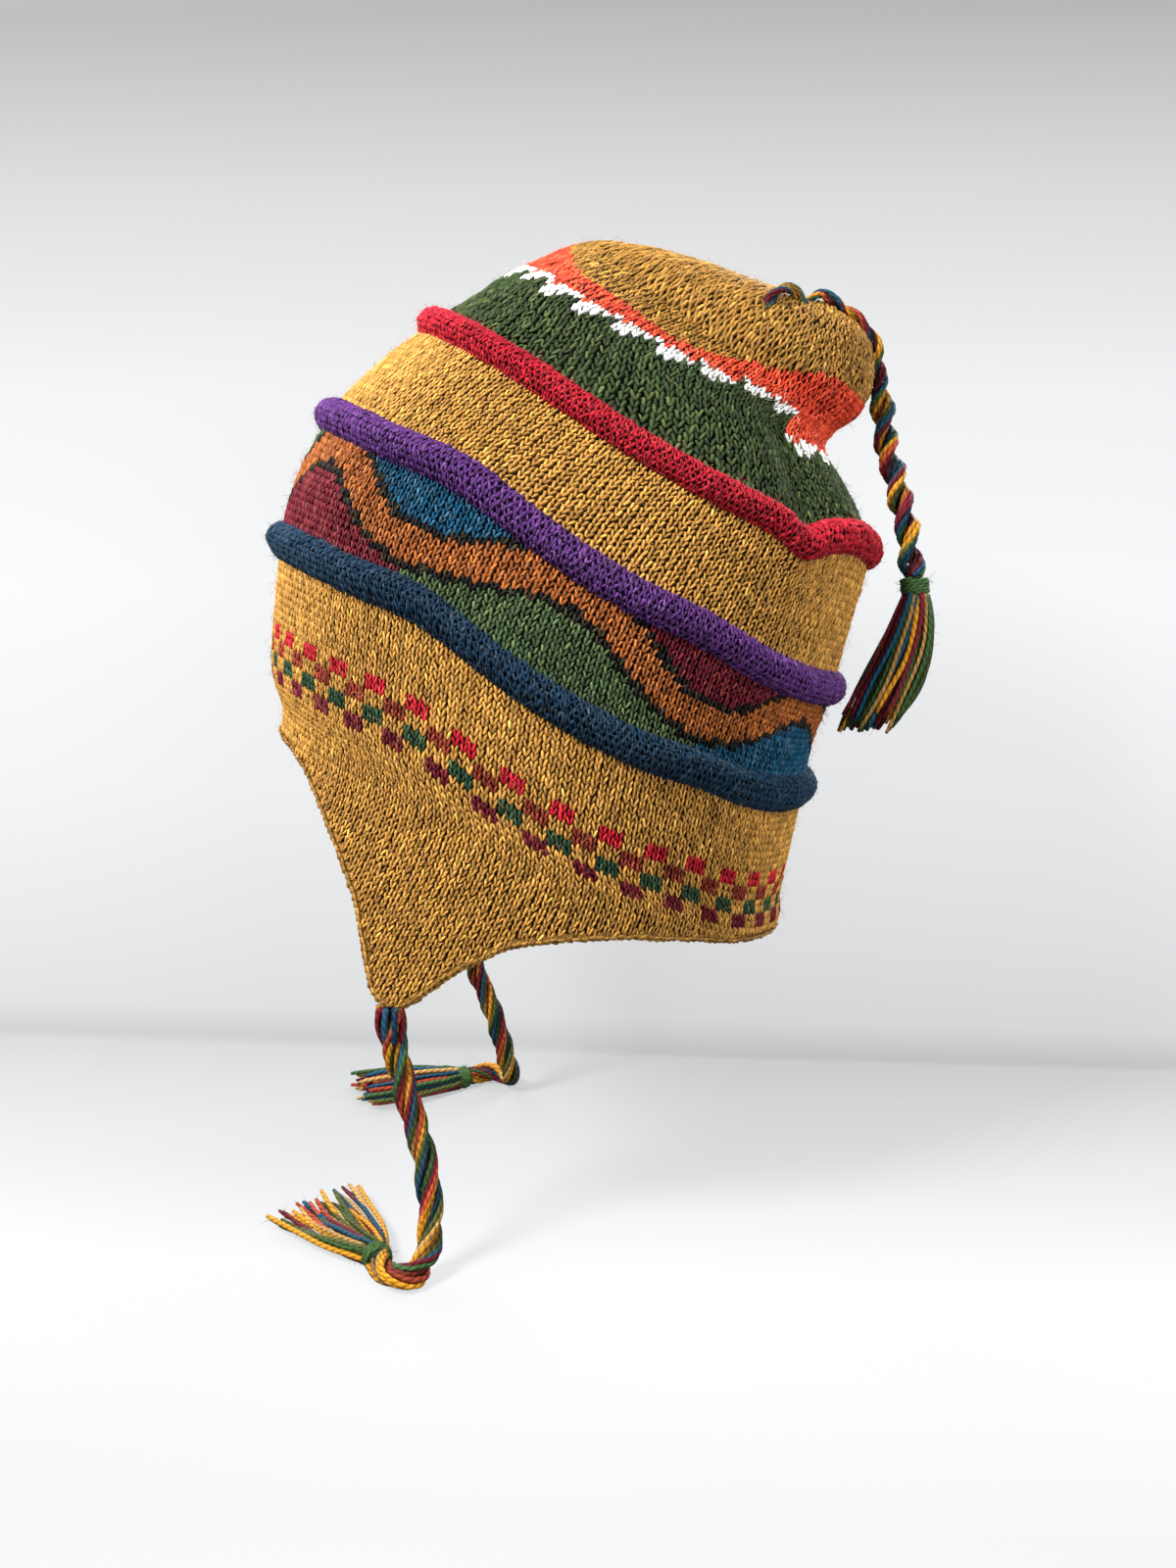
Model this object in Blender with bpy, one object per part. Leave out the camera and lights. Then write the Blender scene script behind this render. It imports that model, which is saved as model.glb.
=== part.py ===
"""Knitted chullo hat: bands, ridges, ear flaps, top braid and two tie braids with tassels.

Metres, +Z up. The wearer's face looks along -Y and the wearer's left is +X.
The origin is the middle of the head opening at the hem.
"""
import math
from collections import namedtuple

import bpy
import bmesh
from mathutils import Vector

# Driving sizes of the hat
HAT_LENGTH = 0.200          # front to back
HAT_HEIGHT = 0.202          # middle of the head opening to the top of the crown
HAT_WIDTH = 0.164           # side to side
KNIT_WALL = 0.0028          # thickness of the knitted fabric
RIDGE_STAND = 0.0055        # how far a ridge stands out of the fabric
GAP = 0.0003                # clearance between neighbouring pieces
SEAM_REACH = 0.1            # a level this near a section lies on that section's seam
COLUMNS = 48                # columns of faces round the head
RIDGE_STEPS = 5             # faces across the outside of a ridge

# Driving sizes of the cords
BRAID_DIAMETER = 0.0090
TIE_DIAMETER = 0.0085
BINDING_LENGTH = 0.0060
BINDING_EXTRA = 0.0008      # how much wider a binding is than its cord
CORD_SIDES = 2              # bevel resolution, which gives a tube of eight sides

# Rings of the fabric's outside, from the flap tips to the crown. Places are shares of HAT_LENGTH
# along Y and of HAT_HEIGHT along Z, half_width of HAT_WIDTH. side_drop lowers both sides of a
# ring and side_twist lowers them behind and lifts them in front, as shares of HAT_HEIGHT.
Section = namedtuple("Section", "name front_y front_z back_y back_z half_width side_drop side_twist")
SECTIONS = (
    Section("flap tips", -0.570, -0.080, 0.310, -0.440, 0.450, 0.000, 0.040),
    Section("hem", -0.440, 0.180, 0.441, -0.183, 0.475, 0.000, 0.040),
    Section("checks", -0.451, 0.302, 0.455, -0.098, 0.490, 0.000, 0.045),
    Section("navy low", -0.431, 0.483, 0.486, 0.054, 0.500, 0.000, 0.068),
    Section("navy high", -0.423, 0.538, 0.495, 0.108, 0.500, 0.000, 0.068),
    Section("wave", -0.395, 0.620, 0.508, 0.168, 0.495, 0.000, 0.055),
    Section("purple low", -0.350, 0.698, 0.531, 0.230, 0.480, 0.000, 0.045),
    Section("purple high", -0.321, 0.741, 0.545, 0.280, 0.470, 0.000, 0.045),
    Section("middle", -0.245, 0.809, 0.568, 0.370, 0.445, 0.012, 0.040),
    Section("red low", -0.178, 0.856, 0.592, 0.459, 0.415, 0.024, 0.036),
    Section("red high", -0.140, 0.883, 0.591, 0.506, 0.400, 0.024, 0.036),
    Section("green", -0.085, 0.912, 0.560, 0.580, 0.375, 0.024, 0.030),
    Section("zigzag", -0.022, 0.951, 0.517, 0.656, 0.330, 0.020, 0.020),
    Section("coral top", 0.096, 1.000, 0.530, 0.689, 0.205, 0.010, 0.000),
    Section("crown low", 0.184, 0.997, 0.573, 0.722, 0.190, 0.000, 0.000),
    Section("crown mid", 0.285, 0.972, 0.595, 0.770, 0.160, 0.000, 0.000),
    Section("crown high", 0.375, 0.938, 0.592, 0.828, 0.115, 0.000, 0.000),
    Section("crown end", 0.440, 0.916, 0.562, 0.878, 0.055, 0.000, 0.000),
)
LEVEL = {row.name: number for number, row in enumerate(SECTIONS)}

# Dents and kinks. angle and angle_spread are degrees round the head (0 is the wearer's left,
# 90 the back), level counts the rows above, inward is a share of the ring's own radius there
# and lift a share of HAT_HEIGHT.
Fold = namedtuple("Fold", "name angle level angle_spread level_spread inward lift")
FOLDS = (
    Fold("left crease", 46, 11.2, 9, 1.1, 0.100, 0.000),
    Fold("left kink", 66, 9.6, 15, 1.2, 0.000, 0.022),
    Fold("right crease", 128, 11.2, 11, 1.1, 0.070, 0.000),
    Fold("crown dimple", 30, 15.2, 30, 1.0, 0.060, -0.010),
    Fold("left navy rise", -18, 3.5, 13, 1.0, 0.000, 0.026),
    Fold("left navy lift", 38, 3.5, 11, 1.0, 0.000, 0.014),
    Fold("left purple rise", -20, 6.5, 13, 1.0, 0.000, 0.022),
    Fold("left purple lift", 30, 6.5, 12, 1.0, 0.000, 0.016),
    Fold("left red step", 43, 9.5, 7, 0.9, 0.000, -0.028),
    Fold("left red sag", -2, 9.5, 25, 0.9, 0.000, -0.010),
    Fold("right navy rise", 196, 3.5, 13, 1.0, 0.000, 0.020),
    Fold("right navy lift", 140, 3.5, 11, 1.0, 0.000, 0.012),
    Fold("right purple rise", 204, 6.5, 13, 1.0, 0.000, 0.018),
    Fold("right purple lift", 152, 6.5, 12, 1.0, 0.000, 0.014),
)

# Lower edge of the fabric on each side, by degrees from the side's middle towards the back.
# drop is a share of the way from the hem down to the flap tips.
FlapEdge = namedtuple("FlapEdge", "angle drop")
FLAP_EDGE = (
    FlapEdge(-90, 0.00), FlapEdge(-60, 0.00), FlapEdge(-50, 0.07), FlapEdge(-38, 0.25),
    FlapEdge(-30, 0.38), FlapEdge(-22, 0.53), FlapEdge(-15, 0.73), FlapEdge(-7.5, 1.00),
    FlapEdge(0, 0.60), FlapEdge(7.5, 0.37), FlapEdge(15, 0.25), FlapEdge(22, 0.15),
    FlapEdge(30, 0.05), FlapEdge(45, -0.07), FlapEdge(68, -0.10), FlapEdge(90, -0.08),
)

# Routes of the cords, chosen from how they hang and lie
TOP_BRAID_ROUTE = (
    (0.0138, 0.0775, 0.1922), (0.0115, 0.0814, 0.1919), (0.0085, 0.0855, 0.1911),
    (0.0054, 0.0900, 0.1898), (0.0022, 0.0941, 0.1890), (0.0000, 0.0991, 0.1880),
    (-0.0025, 0.1047, 0.1862), (-0.0043, 0.1100, 0.1838), (-0.0058, 0.1152, 0.1798),
    (-0.0062, 0.1192, 0.1748), (-0.0062, 0.1222, 0.1690), (-0.0060, 0.1238, 0.1625),
    (-0.0058, 0.1242, 0.1560), (-0.0052, 0.1242, 0.1500), (-0.0040, 0.1245, 0.1430),
    (-0.0020, 0.1256, 0.1350), (0.0000, 0.1275, 0.1265), (0.0020, 0.1298, 0.1175),
    (0.0040, 0.1320, 0.1080), (0.0052, 0.1337, 0.0990), (0.0060, 0.1350, 0.0900),
)
LEFT_TIE_ROUTE = (
    (0.0718, -0.0368, -0.0475), (0.0718, -0.0362, -0.0560), (0.0722, -0.0348, -0.0640),
    (0.0730, -0.0325, -0.0730), (0.0740, -0.0298, -0.0820), (0.0752, -0.0270, -0.0910),
    (0.0764, -0.0248, -0.1005), (0.0778, -0.0234, -0.1100), (0.0798, -0.0228, -0.1180),
    (0.0832, -0.0228, -0.1245), (0.0882, -0.0238, -0.1284), (0.0935, -0.0265, -0.1296),
    (0.0943, -0.0320, -0.1296), (0.0900, -0.0362, -0.1296), (0.0845, -0.0390, -0.1296),
)
RIGHT_TIE_ROUTE = (
    (-0.0718, -0.0368, -0.0475), (-0.0719, -0.0364, -0.0560), (-0.0724, -0.0355, -0.0640),
    (-0.0733, -0.0335, -0.0730), (-0.0743, -0.0305, -0.0820), (-0.0755, -0.0272, -0.0910),
    (-0.0768, -0.0244, -0.1005), (-0.0784, -0.0222, -0.1100), (-0.0806, -0.0207, -0.1180),
    (-0.0840, -0.0200, -0.1245), (-0.0890, -0.0206, -0.1284), (-0.0945, -0.0235, -0.1296),
    (-0.0962, -0.0290, -0.1296), (-0.0945, -0.0345, -0.1296), (-0.0910, -0.0392, -0.1296),
)
ROUTE_STEP = 0.0062         # distance between the points of a cord's curve

# Locks of yarn in a tassel. across and out are shares of the tassel's half width and half depth
# at its tips, reach is a share of its length.
Lock = namedtuple("Lock", "across out reach")
HANGING_LOCKS = (
    Lock(-1.00, 0.00, 0.97), Lock(-0.50, 0.80, 1.02), Lock(-0.30, -0.80, 0.95),
    Lock(0.05, 0.10, 1.00), Lock(0.35, 0.90, 0.98), Lock(0.50, -0.75, 1.00), Lock(1.00, 0.05, 1.00),
)
LYING_LOCKS = (
    Lock(-1.00, 0.00, 0.94), Lock(-0.62, 0.55, 1.03), Lock(-0.25, -0.10, 1.00),
    Lock(0.15, 0.75, 0.95), Lock(0.55, 0.00, 1.00), Lock(1.00, 0.20, 0.92),
)
LOCK_RADIUS = 0.0042
LOCK_ROOT_SHARE = 0.70      # a lock's radius at the head, as a share of LOCK_RADIUS
LOCK_TIP_SHARE = 0.60       # and at its tip
LOCK_SIDES = 6
LOCK_STEPS = 4
HEAD_SHARE = 1.12           # radius of a tassel's head, as a share of its cord's
HEAD_SEGMENTS = 10
HEAD_RINGS = 6
LOCK_START_SHARE = 0.35     # how far off the middle of the head a lock starts, as a share of its radius
LOCK_BULGE_REACH = 0.35     # where a lock bulges, as a share of the tassel's length
LOCK_BULGE_SPREAD = 0.62    # and how far it has spread there, as a share of its spread at the tip
CROWN_TIP_SHARE = 0.40      # how far the crown's last point stands out, as a share of KNIT_WALL

# Colours in linear light, and the wool's roughness
MUSTARD = (0.50, 0.26, 0.065)
NAVY = (0.020, 0.045, 0.090)
PURPLE = (0.090, 0.025, 0.170)
RED = (0.48, 0.015, 0.040)
GREEN = (0.050, 0.090, 0.032)
RUST = (0.44, 0.150, 0.045)
BINDING_GREEN = (0.045, 0.110, 0.025)
BRAID_MIX = (0.22, 0.085, 0.035)
WOOL_ROUGHNESS = 0.9


# The knitted surface

def between_rows(rows, place):
    """The smooth curve through the rows' numbers, at a place counted in rows."""
    low = min(max(int(math.floor(place)), 0), len(rows) - 2)
    share = place - low
    near = [rows[min(max(low + step, 0), len(rows) - 1)] for step in (-1, 0, 1, 2)]
    return [
        0.5 * (2 * b + (c - a) * share + (2 * a - 5 * b + 4 * c - d) * share ** 2
               + (3 * b - a - 3 * c + d) * share ** 3)
        for a, b, c, d in zip(*near)
    ]


def fold_amount(fold, level, angle):
    """How much of a fold is felt at a level and angle, from 0 to 1."""
    turn = (math.degrees(angle) - fold.angle + 180) % 360 - 180
    return math.exp(-(turn / fold.angle_spread) ** 2 - ((level - fold.level) / fold.level_spread) ** 2)


def fabric_point(level, angle):
    """A point on the outside of the fabric: level counts sections, angle goes left to back."""
    front_y, front_z, back_y, back_z, half_width, drop, twist = between_rows(
        [row[1:] for row in SECTIONS], level)
    sine, cosine = math.sin(angle), math.cos(angle)
    inward = sum(fold.inward * fold_amount(fold, level, angle) for fold in FOLDS)
    lift = sum(fold.lift * fold_amount(fold, level, angle) for fold in FOLDS)
    radius = 1 - inward
    across = (back_y - front_y) / 2 * sine * radius
    rise = (back_z - front_z) / 2 * sine * radius
    return Vector((
        half_width * cosine * radius * HAT_WIDTH,
        ((front_y + back_y) / 2 + across) * HAT_LENGTH,
        ((front_z + back_z) / 2 + rise - (drop + twist * sine) * cosine ** 2 + lift) * HAT_HEIGHT,
    ))


def fabric_normal(level, angle):
    """The outward direction of the fabric. Both rims of a seam use the seam's own."""
    if abs(level - round(level)) < SEAM_REACH:
        level = round(level)
    step = 0.02
    up = fabric_point(level + step, angle) - fabric_point(level - step, angle)
    along = fabric_point(level, angle + step) - fabric_point(level, angle - step)
    return along.cross(up).normalized()


def level_step(level, angle, distance):
    """The level that lies a distance square to the ring above another, below it if negative."""
    step = 0.02
    up = fabric_point(level + step, angle) - fabric_point(level - step, angle)
    along = (fabric_point(level, angle + step) - fabric_point(level, angle - step)).normalized()
    return level + distance * 2 * step / (up - along * up.dot(along)).length


def flap_drop(angle):
    """How far the lower edge hangs below the hem, as a share of the flap's drop."""
    turn = math.degrees(math.atan2(math.sin(angle), abs(math.cos(angle))))
    for low, high in zip(FLAP_EDGE, FLAP_EDGE[1:]):
        if turn <= high.angle:
            share = (turn - low.angle) / (high.angle - low.angle)
            return low.drop + (high.drop - low.drop) * share
    return FLAP_EDGE[-1].drop


def lower_edge(angle):
    """The level of the hem and the flaps' edge."""
    return LEVEL["hem"] - flap_drop(angle)


def column_angles():
    return [2 * math.pi * column / COLUMNS for column in range(COLUMNS)]


# Building helpers

def material_of(name, colour):
    """A plain wool material."""
    material = bpy.data.materials.new(name)
    material.use_nodes = True
    shader = material.node_tree.nodes["Principled BSDF"]
    shader.inputs["Base Color"].default_value = (*colour, 1)
    shader.inputs["Roughness"].default_value = WOOL_ROUGHNESS
    shader.inputs["Metallic"].default_value = 0
    material.diffuse_color = (*colour, 1)
    return material


def place(name, mesh, colour, collection):
    """Puts a mesh in the scene as one named piece."""
    for polygon in mesh.polygons:
        polygon.use_smooth = True
    mesh.materials.append(material_of(name + "_wool", colour))
    piece = bpy.data.objects.new(name, mesh)
    collection.objects.link(piece)
    return piece


def loft_rings(name, rings, closed):
    """A mesh through rings of points. closed joins the last ring to the first."""
    shape = bmesh.new()
    rows = [[shape.verts.new(point) for point in ring] for ring in rings]
    pairs = list(zip(rows, rows[1:] + rows[:1])) if closed else list(zip(rows, rows[1:]))
    for lower, upper in pairs:
        count = len(lower)
        for column in range(count):
            after = (column + 1) % count
            shape.faces.new((lower[column], lower[after], upper[after], upper[column]))
    mesh = bpy.data.meshes.new(name)
    bmesh.ops.recalc_face_normals(shape, faces=shape.faces)
    shape.to_mesh(mesh)
    shape.free()
    return mesh


def fabric_band(name, low_level, high_level, rows, colour, collection):
    """A band of fabric between two levels, each a function of the angle, with its own wall."""
    outside, inside = [], []
    for row in range(rows + 1):
        outer_ring, inner_ring = [], []
        for angle in column_angles():
            low, high = low_level(angle), high_level(angle)
            level = low + (high - low) * row / rows
            point = fabric_point(level, angle)
            outer_ring.append(point)
            inner_ring.append(point - fabric_normal(level, angle) * KNIT_WALL)
        outside.append(outer_ring)
        inside.append(inner_ring)
    return place(name, loft_rings(name, outside + inside[::-1], closed=True), colour, collection)


def ridge(name, low_level, high_level, colour, collection):
    """A half-round welt between two levels, backed by the fabric's own wall."""
    rings = []
    sections = []
    for angle in column_angles():
        low, high = low_level(angle), high_level(angle)
        section = []
        for step in range(RIDGE_STEPS + 1):
            turn = math.pi * step / RIDGE_STEPS
            level = (low + high) / 2 - (high - low) / 2 * math.cos(turn)
            stand = RIDGE_STAND * math.sin(turn)
            section.append(fabric_point(level, angle) + fabric_normal(level, angle) * stand)
        for level in (high, low):
            section.append(fabric_point(level, angle) - fabric_normal(level, angle) * KNIT_WALL)
        sections.append(section)
    for number in range(len(sections[0])):
        rings.append([section[number] for section in sections])
    return place(name, loft_rings(name, rings, closed=True), colour, collection)


def crown_cap(name, low_level, rows, colour, collection):
    """The top of the hat: rings that close on one point outside and one inside."""
    top = LEVEL["crown end"]
    outside, inside = [], []
    for row in range(rows + 1):
        outer_ring, inner_ring = [], []
        for angle in column_angles():
            low = low_level(angle)
            level = low + (top - low) * row / rows
            point = fabric_point(level, angle)
            outer_ring.append(point)
            inner_ring.append(point - fabric_normal(level, angle) * KNIT_WALL)
        outside.append(outer_ring)
        inside.append(inner_ring)
    shape = bmesh.new()
    caps = []
    for rings, rise in ((outside, CROWN_TIP_SHARE), (inside, 0.0)):
        rows_of_verts = [[shape.verts.new(point) for point in ring] for ring in rings]
        for lower, upper in zip(rows_of_verts, rows_of_verts[1:]):
            for column in range(COLUMNS):
                after = (column + 1) % COLUMNS
                shape.faces.new((lower[column], lower[after], upper[after], upper[column]))
        middle = sum(rings[-1], Vector()) / COLUMNS
        facing = (rings[-1][0] - middle).cross(rings[-1][COLUMNS // 4] - middle).normalized()
        tip = shape.verts.new(middle + facing * KNIT_WALL * rise)
        last = rows_of_verts[-1]
        for column in range(COLUMNS):
            shape.faces.new((last[column], last[(column + 1) % COLUMNS], tip))
        caps.append(rows_of_verts[0])
    outer_rim, inner_rim = caps
    for column in range(COLUMNS):
        after = (column + 1) % COLUMNS
        shape.faces.new((inner_rim[column], inner_rim[after], outer_rim[after], outer_rim[column]))
    mesh = bpy.data.meshes.new(name)
    bmesh.ops.recalc_face_normals(shape, faces=shape.faces)
    shape.to_mesh(mesh)
    shape.free()
    return place(name, mesh, colour, collection)


# Cords

def smooth_route(points, spacing):
    """Points at even distances along the smooth curve through a route."""
    fine = []
    for number in range((len(points) - 1) * 8 + 1):
        fine.append(Vector(between_rows(points, number / 8)))
    lengths = [0.0]
    for here, there in zip(fine, fine[1:]):
        lengths.append(lengths[-1] + (there - here).length)
    count = max(2, round(lengths[-1] / spacing))
    route = []
    for number in range(count + 1):
        wanted = lengths[-1] * number / count
        part = next((k for k in range(1, len(lengths)) if lengths[k] >= wanted - 1e-9), len(lengths) - 1)
        share = (wanted - lengths[part - 1]) / (lengths[part] - lengths[part - 1])
        route.append(fine[part - 1].lerp(fine[part], share))
    return route


def tube(name, route, diameter, colour, collection):
    """A round cord along a route, as a bevelled curve."""
    curve = bpy.data.curves.new(name, "CURVE")
    curve.dimensions = "3D"
    curve.bevel_depth = diameter / 2
    curve.bevel_resolution = CORD_SIDES
    curve.use_fill_caps = True
    spline = curve.splines.new("POLY")
    spline.points.add(len(route) - 1)
    for point, here in zip(spline.points, route):
        point.co = (*here, 1)
    spline.use_smooth = True
    curve.materials.append(material_of(name + "_wool", colour))
    piece = bpy.data.objects.new(name, curve)
    collection.objects.link(piece)
    return piece


def lock_mesh(name, route, radii):
    """One closed, tapered lock of yarn along a route."""
    rings = []
    for number, here in enumerate(route):
        before = route[max(number - 1, 0)]
        after = route[min(number + 1, len(route) - 1)]
        along = (after - before).normalized()
        side = along.orthogonal().normalized()
        other = along.cross(side)
        rings.append([
            here + (side * math.cos(turn) + other * math.sin(turn)) * radii[number]
            for turn in (2 * math.pi * k / LOCK_SIDES for k in range(LOCK_SIDES))
        ])
    shape = bmesh.new()
    rows = [[shape.verts.new(point) for point in ring] for ring in rings]
    for lower, upper in zip(rows, rows[1:]):
        for column in range(LOCK_SIDES):
            after = (column + 1) % LOCK_SIDES
            shape.faces.new((lower[column], lower[after], upper[after], upper[column]))
    for end in (rows[0], rows[-1]):
        shape.faces.new(end)
    bmesh.ops.recalc_face_normals(shape, faces=shape.faces)
    mesh = bpy.data.meshes.new(name)
    shape.to_mesh(mesh)
    shape.free()
    return mesh


def tassel(name, top, tips, across, out, locks, head_radius, colour, collection, cutters):
    """A head of yarn with its locks fused on: across and out are the half spreads at the tips."""
    shape = bmesh.new()
    bmesh.ops.create_uvsphere(
        shape, u_segments=HEAD_SEGMENTS, v_segments=HEAD_RINGS, radius=head_radius)
    along = (tips - top).normalized()
    turn = along.to_track_quat("Z", "Y").to_matrix()
    middle = top + along * head_radius
    for vert in shape.verts:
        vert.co = turn @ vert.co + middle
    mesh = bpy.data.meshes.new(name)
    shape.to_mesh(mesh)
    shape.free()
    piece = place(name, mesh, colour, collection)
    for number, lock in enumerate(locks):
        spread = across * lock.across + out * lock.out
        turned = across.normalized() * lock.across + out.normalized() * lock.out
        tip = top + (tips - top) * lock.reach + spread
        start = middle + turned * head_radius * LOCK_START_SHARE
        bulge = middle + (tips - top) * LOCK_BULGE_REACH + spread * LOCK_BULGE_SPREAD
        route = []
        radii = []
        for step in range(LOCK_STEPS + 1):
            share = step / LOCK_STEPS
            route.append(start * (1 - share) ** 2 + bulge * 2 * share * (1 - share) + tip * share ** 2)
            root = (1 - LOCK_ROOT_SHARE) * (1 - share) ** 3
            end = (1 - LOCK_TIP_SHARE) * share ** 4
            radii.append(LOCK_RADIUS * (1 - root - end))
        cutter_mesh = lock_mesh(f"{name}_lock_{number}", route, radii)
        cutter = bpy.data.objects.new(f"{name}_lock_{number}", cutter_mesh)
        cutter.hide_render = True
        cutter.display_type = "WIRE"
        cutters.objects.link(cutter)
        joined = piece.modifiers.new(f"join lock {number}", "BOOLEAN")
        joined.operation = "UNION"
        joined.solver = "EXACT"
        joined.object = cutter
    return piece


def hanging_cord(names, route_points, diameter, tips, across, out, locks, collection, cutters):
    """A braid, its binding and its tassel, one after another along one route."""
    braid_name, binding_name, tassel_name = names
    route = smooth_route(route_points, ROUTE_STEP)
    tube(braid_name, route, diameter, BRAID_MIX, collection)
    along = (route[-1] - route[-2]).normalized()
    binding_start = route[-1] + along * GAP
    binding_end = binding_start + along * BINDING_LENGTH
    tube(binding_name, [binding_start, binding_start.lerp(binding_end, 0.5), binding_end],
         diameter + BINDING_EXTRA, BINDING_GREEN, collection)
    top = binding_end + along * GAP
    tassel(tassel_name, top, tips, across, out, locks, diameter / 2 * HEAD_SHARE, BRAID_MIX,
           collection, cutters)


# The whole hat

def build_fabric(collection):
    """The knitted bands and the three ridges, each ending a small gap from the next."""
    def above(name):
        return lambda angle: level_step(LEVEL[name], angle, GAP / 2)

    def below(name):
        return lambda angle: level_step(LEVEL[name], angle, -GAP / 2)

    fabric_band("earflap_band", lower_edge, below("navy low"), 7, MUSTARD, collection)
    ridge("navy_ridge", above("navy low"), below("navy high"), NAVY, collection)
    fabric_band("wave_band", above("navy high"), below("purple low"), 3, RUST, collection)
    ridge("purple_ridge", above("purple low"), below("purple high"), PURPLE, collection)
    fabric_band("middle_band", above("purple high"), below("red low"), 3, MUSTARD, collection)
    ridge("red_ridge", above("red low"), below("red high"), RED, collection)
    fabric_band("zigzag_band", above("red high"), below("coral top"), 6, GREEN, collection)
    crown_cap("crown_top", above("coral top"), 6, MUSTARD, collection)


def build_cords(collection, cutters):
    """The braid on the crown and the tie at each flap."""
    hanging_cord(
        ("top_braid", "top_tassel_binding", "top_tassel"), TOP_BRAID_ROUTE, BRAID_DIAMETER,
        tips=Vector((0.010, 0.1240, 0.0375)), across=Vector((0, 0.0100, 0)), out=Vector((0.0080, 0, 0)),
        locks=HANGING_LOCKS, collection=collection, cutters=cutters)
    hanging_cord(
        ("left_tie_braid", "left_tie_binding", "left_tassel"), LEFT_TIE_ROUTE, TIE_DIAMETER,
        tips=Vector((0.0420, -0.0740, -0.1295)), across=Vector((-0.0150, 0.0130, 0)),
        out=Vector((0, 0, 0.0040)), locks=LYING_LOCKS, collection=collection, cutters=cutters)
    hanging_cord(
        ("right_tie_braid", "right_tie_binding", "right_tassel"), RIGHT_TIE_ROUTE, TIE_DIAMETER,
        tips=Vector((-0.0700, -0.0840, -0.1295)), across=Vector((0.0170, 0.0070, 0)),
        out=Vector((0, 0, 0.0040)), locks=LYING_LOCKS, collection=collection, cutters=cutters)


def main():
    for item in list(bpy.data.objects):
        bpy.data.objects.remove(item, do_unlink=True)
    collection = bpy.data.collections.new("chullo_hat")
    cutters = bpy.data.collections.new("cutters")
    bpy.context.scene.collection.children.link(collection)
    bpy.context.scene.collection.children.link(cutters)
    build_fabric(collection)
    build_cords(collection, cutters)


main()
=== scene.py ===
"""Looks of the knitted chullo hat: every stitch of its bands and welts, its twisted cords and tassels.

Metres, +Z up. The wearer's face looks along -Y and the wearer's left is +X.
"""
import math

import bpy
import numpy as np
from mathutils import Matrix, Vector


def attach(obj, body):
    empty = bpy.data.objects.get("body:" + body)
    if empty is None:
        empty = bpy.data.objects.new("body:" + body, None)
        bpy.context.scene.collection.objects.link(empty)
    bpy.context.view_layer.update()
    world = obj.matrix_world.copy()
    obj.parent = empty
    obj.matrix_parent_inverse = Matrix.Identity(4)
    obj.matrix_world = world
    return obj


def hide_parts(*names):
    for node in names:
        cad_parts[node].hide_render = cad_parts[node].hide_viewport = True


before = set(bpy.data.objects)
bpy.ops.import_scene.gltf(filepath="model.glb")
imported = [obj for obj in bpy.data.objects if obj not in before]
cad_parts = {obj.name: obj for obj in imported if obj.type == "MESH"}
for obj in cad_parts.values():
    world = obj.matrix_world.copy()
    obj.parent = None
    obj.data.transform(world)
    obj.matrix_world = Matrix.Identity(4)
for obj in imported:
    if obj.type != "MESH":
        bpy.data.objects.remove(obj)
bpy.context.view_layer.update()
chance = np.random.default_rng(11)
TURN = 2 * math.pi

# Sizes shared with the solids
HAT_LENGTH = 0.200
HAT_HEIGHT = 0.202
HAT_WIDTH = 0.164
KNIT_WALL = 0.0028
RIDGE_STAND = 0.0055
BRAID_DIAMETER = 0.0090
TIE_DIAMETER = 0.0085
BINDING_LENGTH = 0.0060
GAP = 0.0003

# Sizes of the yarn and the knitting
STEP = 0.02  # of a level or a radian, over which slopes are measured
ROW_HEIGHT = 0.00245  # one row of stitches
TIP_WALE = 0.0027  # one wale of the stitches drawn together at the crown's end
STITCH_BED = 0.0010  # how far below the stitches the backing starts
INSIDE_SHADE = 0.8  # the inside's colour as a share of the yarn's
YARN_RADIUS = 0.00088  # one plied strand of a cord or a tassel
PLY_PITCH = 0.0058  # length of one turn of the two plies in a strand
FIBRE_RADIUS = 0.000055  # a loose fibre, drawn a little thick so that it shows
FIBRE_BEND = 0.6  # how much a loose fibre turns at its middle
EDGE_SPACING = 0.0024  # one stitch of the finished edge
EDGE_WALE = 0.0042  # how wide such a stitch is
EDGE_RADIUS = 0.0011  # the roll under the finished edge

# Loose fibres: how many, their length and how steeply they stand
KNIT_FUZZ = (0.50, 0.0054, 0.62)  # the first is for each stitch
WELT_FUZZ = (1300, 0.0038, 0.6)
EDGE_FUZZ = (300, 0.0050, 0.5)
CORD_FUZZ = (380, 0.0019, 0.8)
WRAP_FUZZ = (60, 0.0040, 0.8)
TUFT_FUZZ = (380, 0.0040, 0.5)

# Shapes of the stitches, in shares of a wale and a row, and in metres: half width, half thickness, lean,
# length, rise, unrest, spread of tone, share of pale fibre and the painted shade of the sides
PLAIN_STITCH = (0.195, 0.00058, 0.34, 1.62, 0.00040, 1.1, 0.18, 0.17, 0.28)
WAVE_STITCH = (0.200, 0.00058, 0.34, 1.62, 0.00040, 1.1, 0.20, 0.24, 0.28)
FLECKED_STITCH = (0.215, 0.00060, 0.36, 1.60, 0.00040, 1.5, 0.24, 0.26, 0.26)
CROWN_STITCH = (0.240, 0.00052, 0.34, 1.60, 0.00040, 1.7, 0.18, 0.18, 0.42)
WELT_STITCH = (0.31, 0.00046, 0.46, 1.50, 0.00030, 1.8, 0.15, 0.14, 0.60)
EDGE_STITCH = (0.20, 0.00055, 0.30, 1.60, 0.00030, 1.0, 0.16, 0.16, 0.34)
LEG_OUT = 0.215  # how far each leg is from its stitch's middle, as a share of a wale
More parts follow.
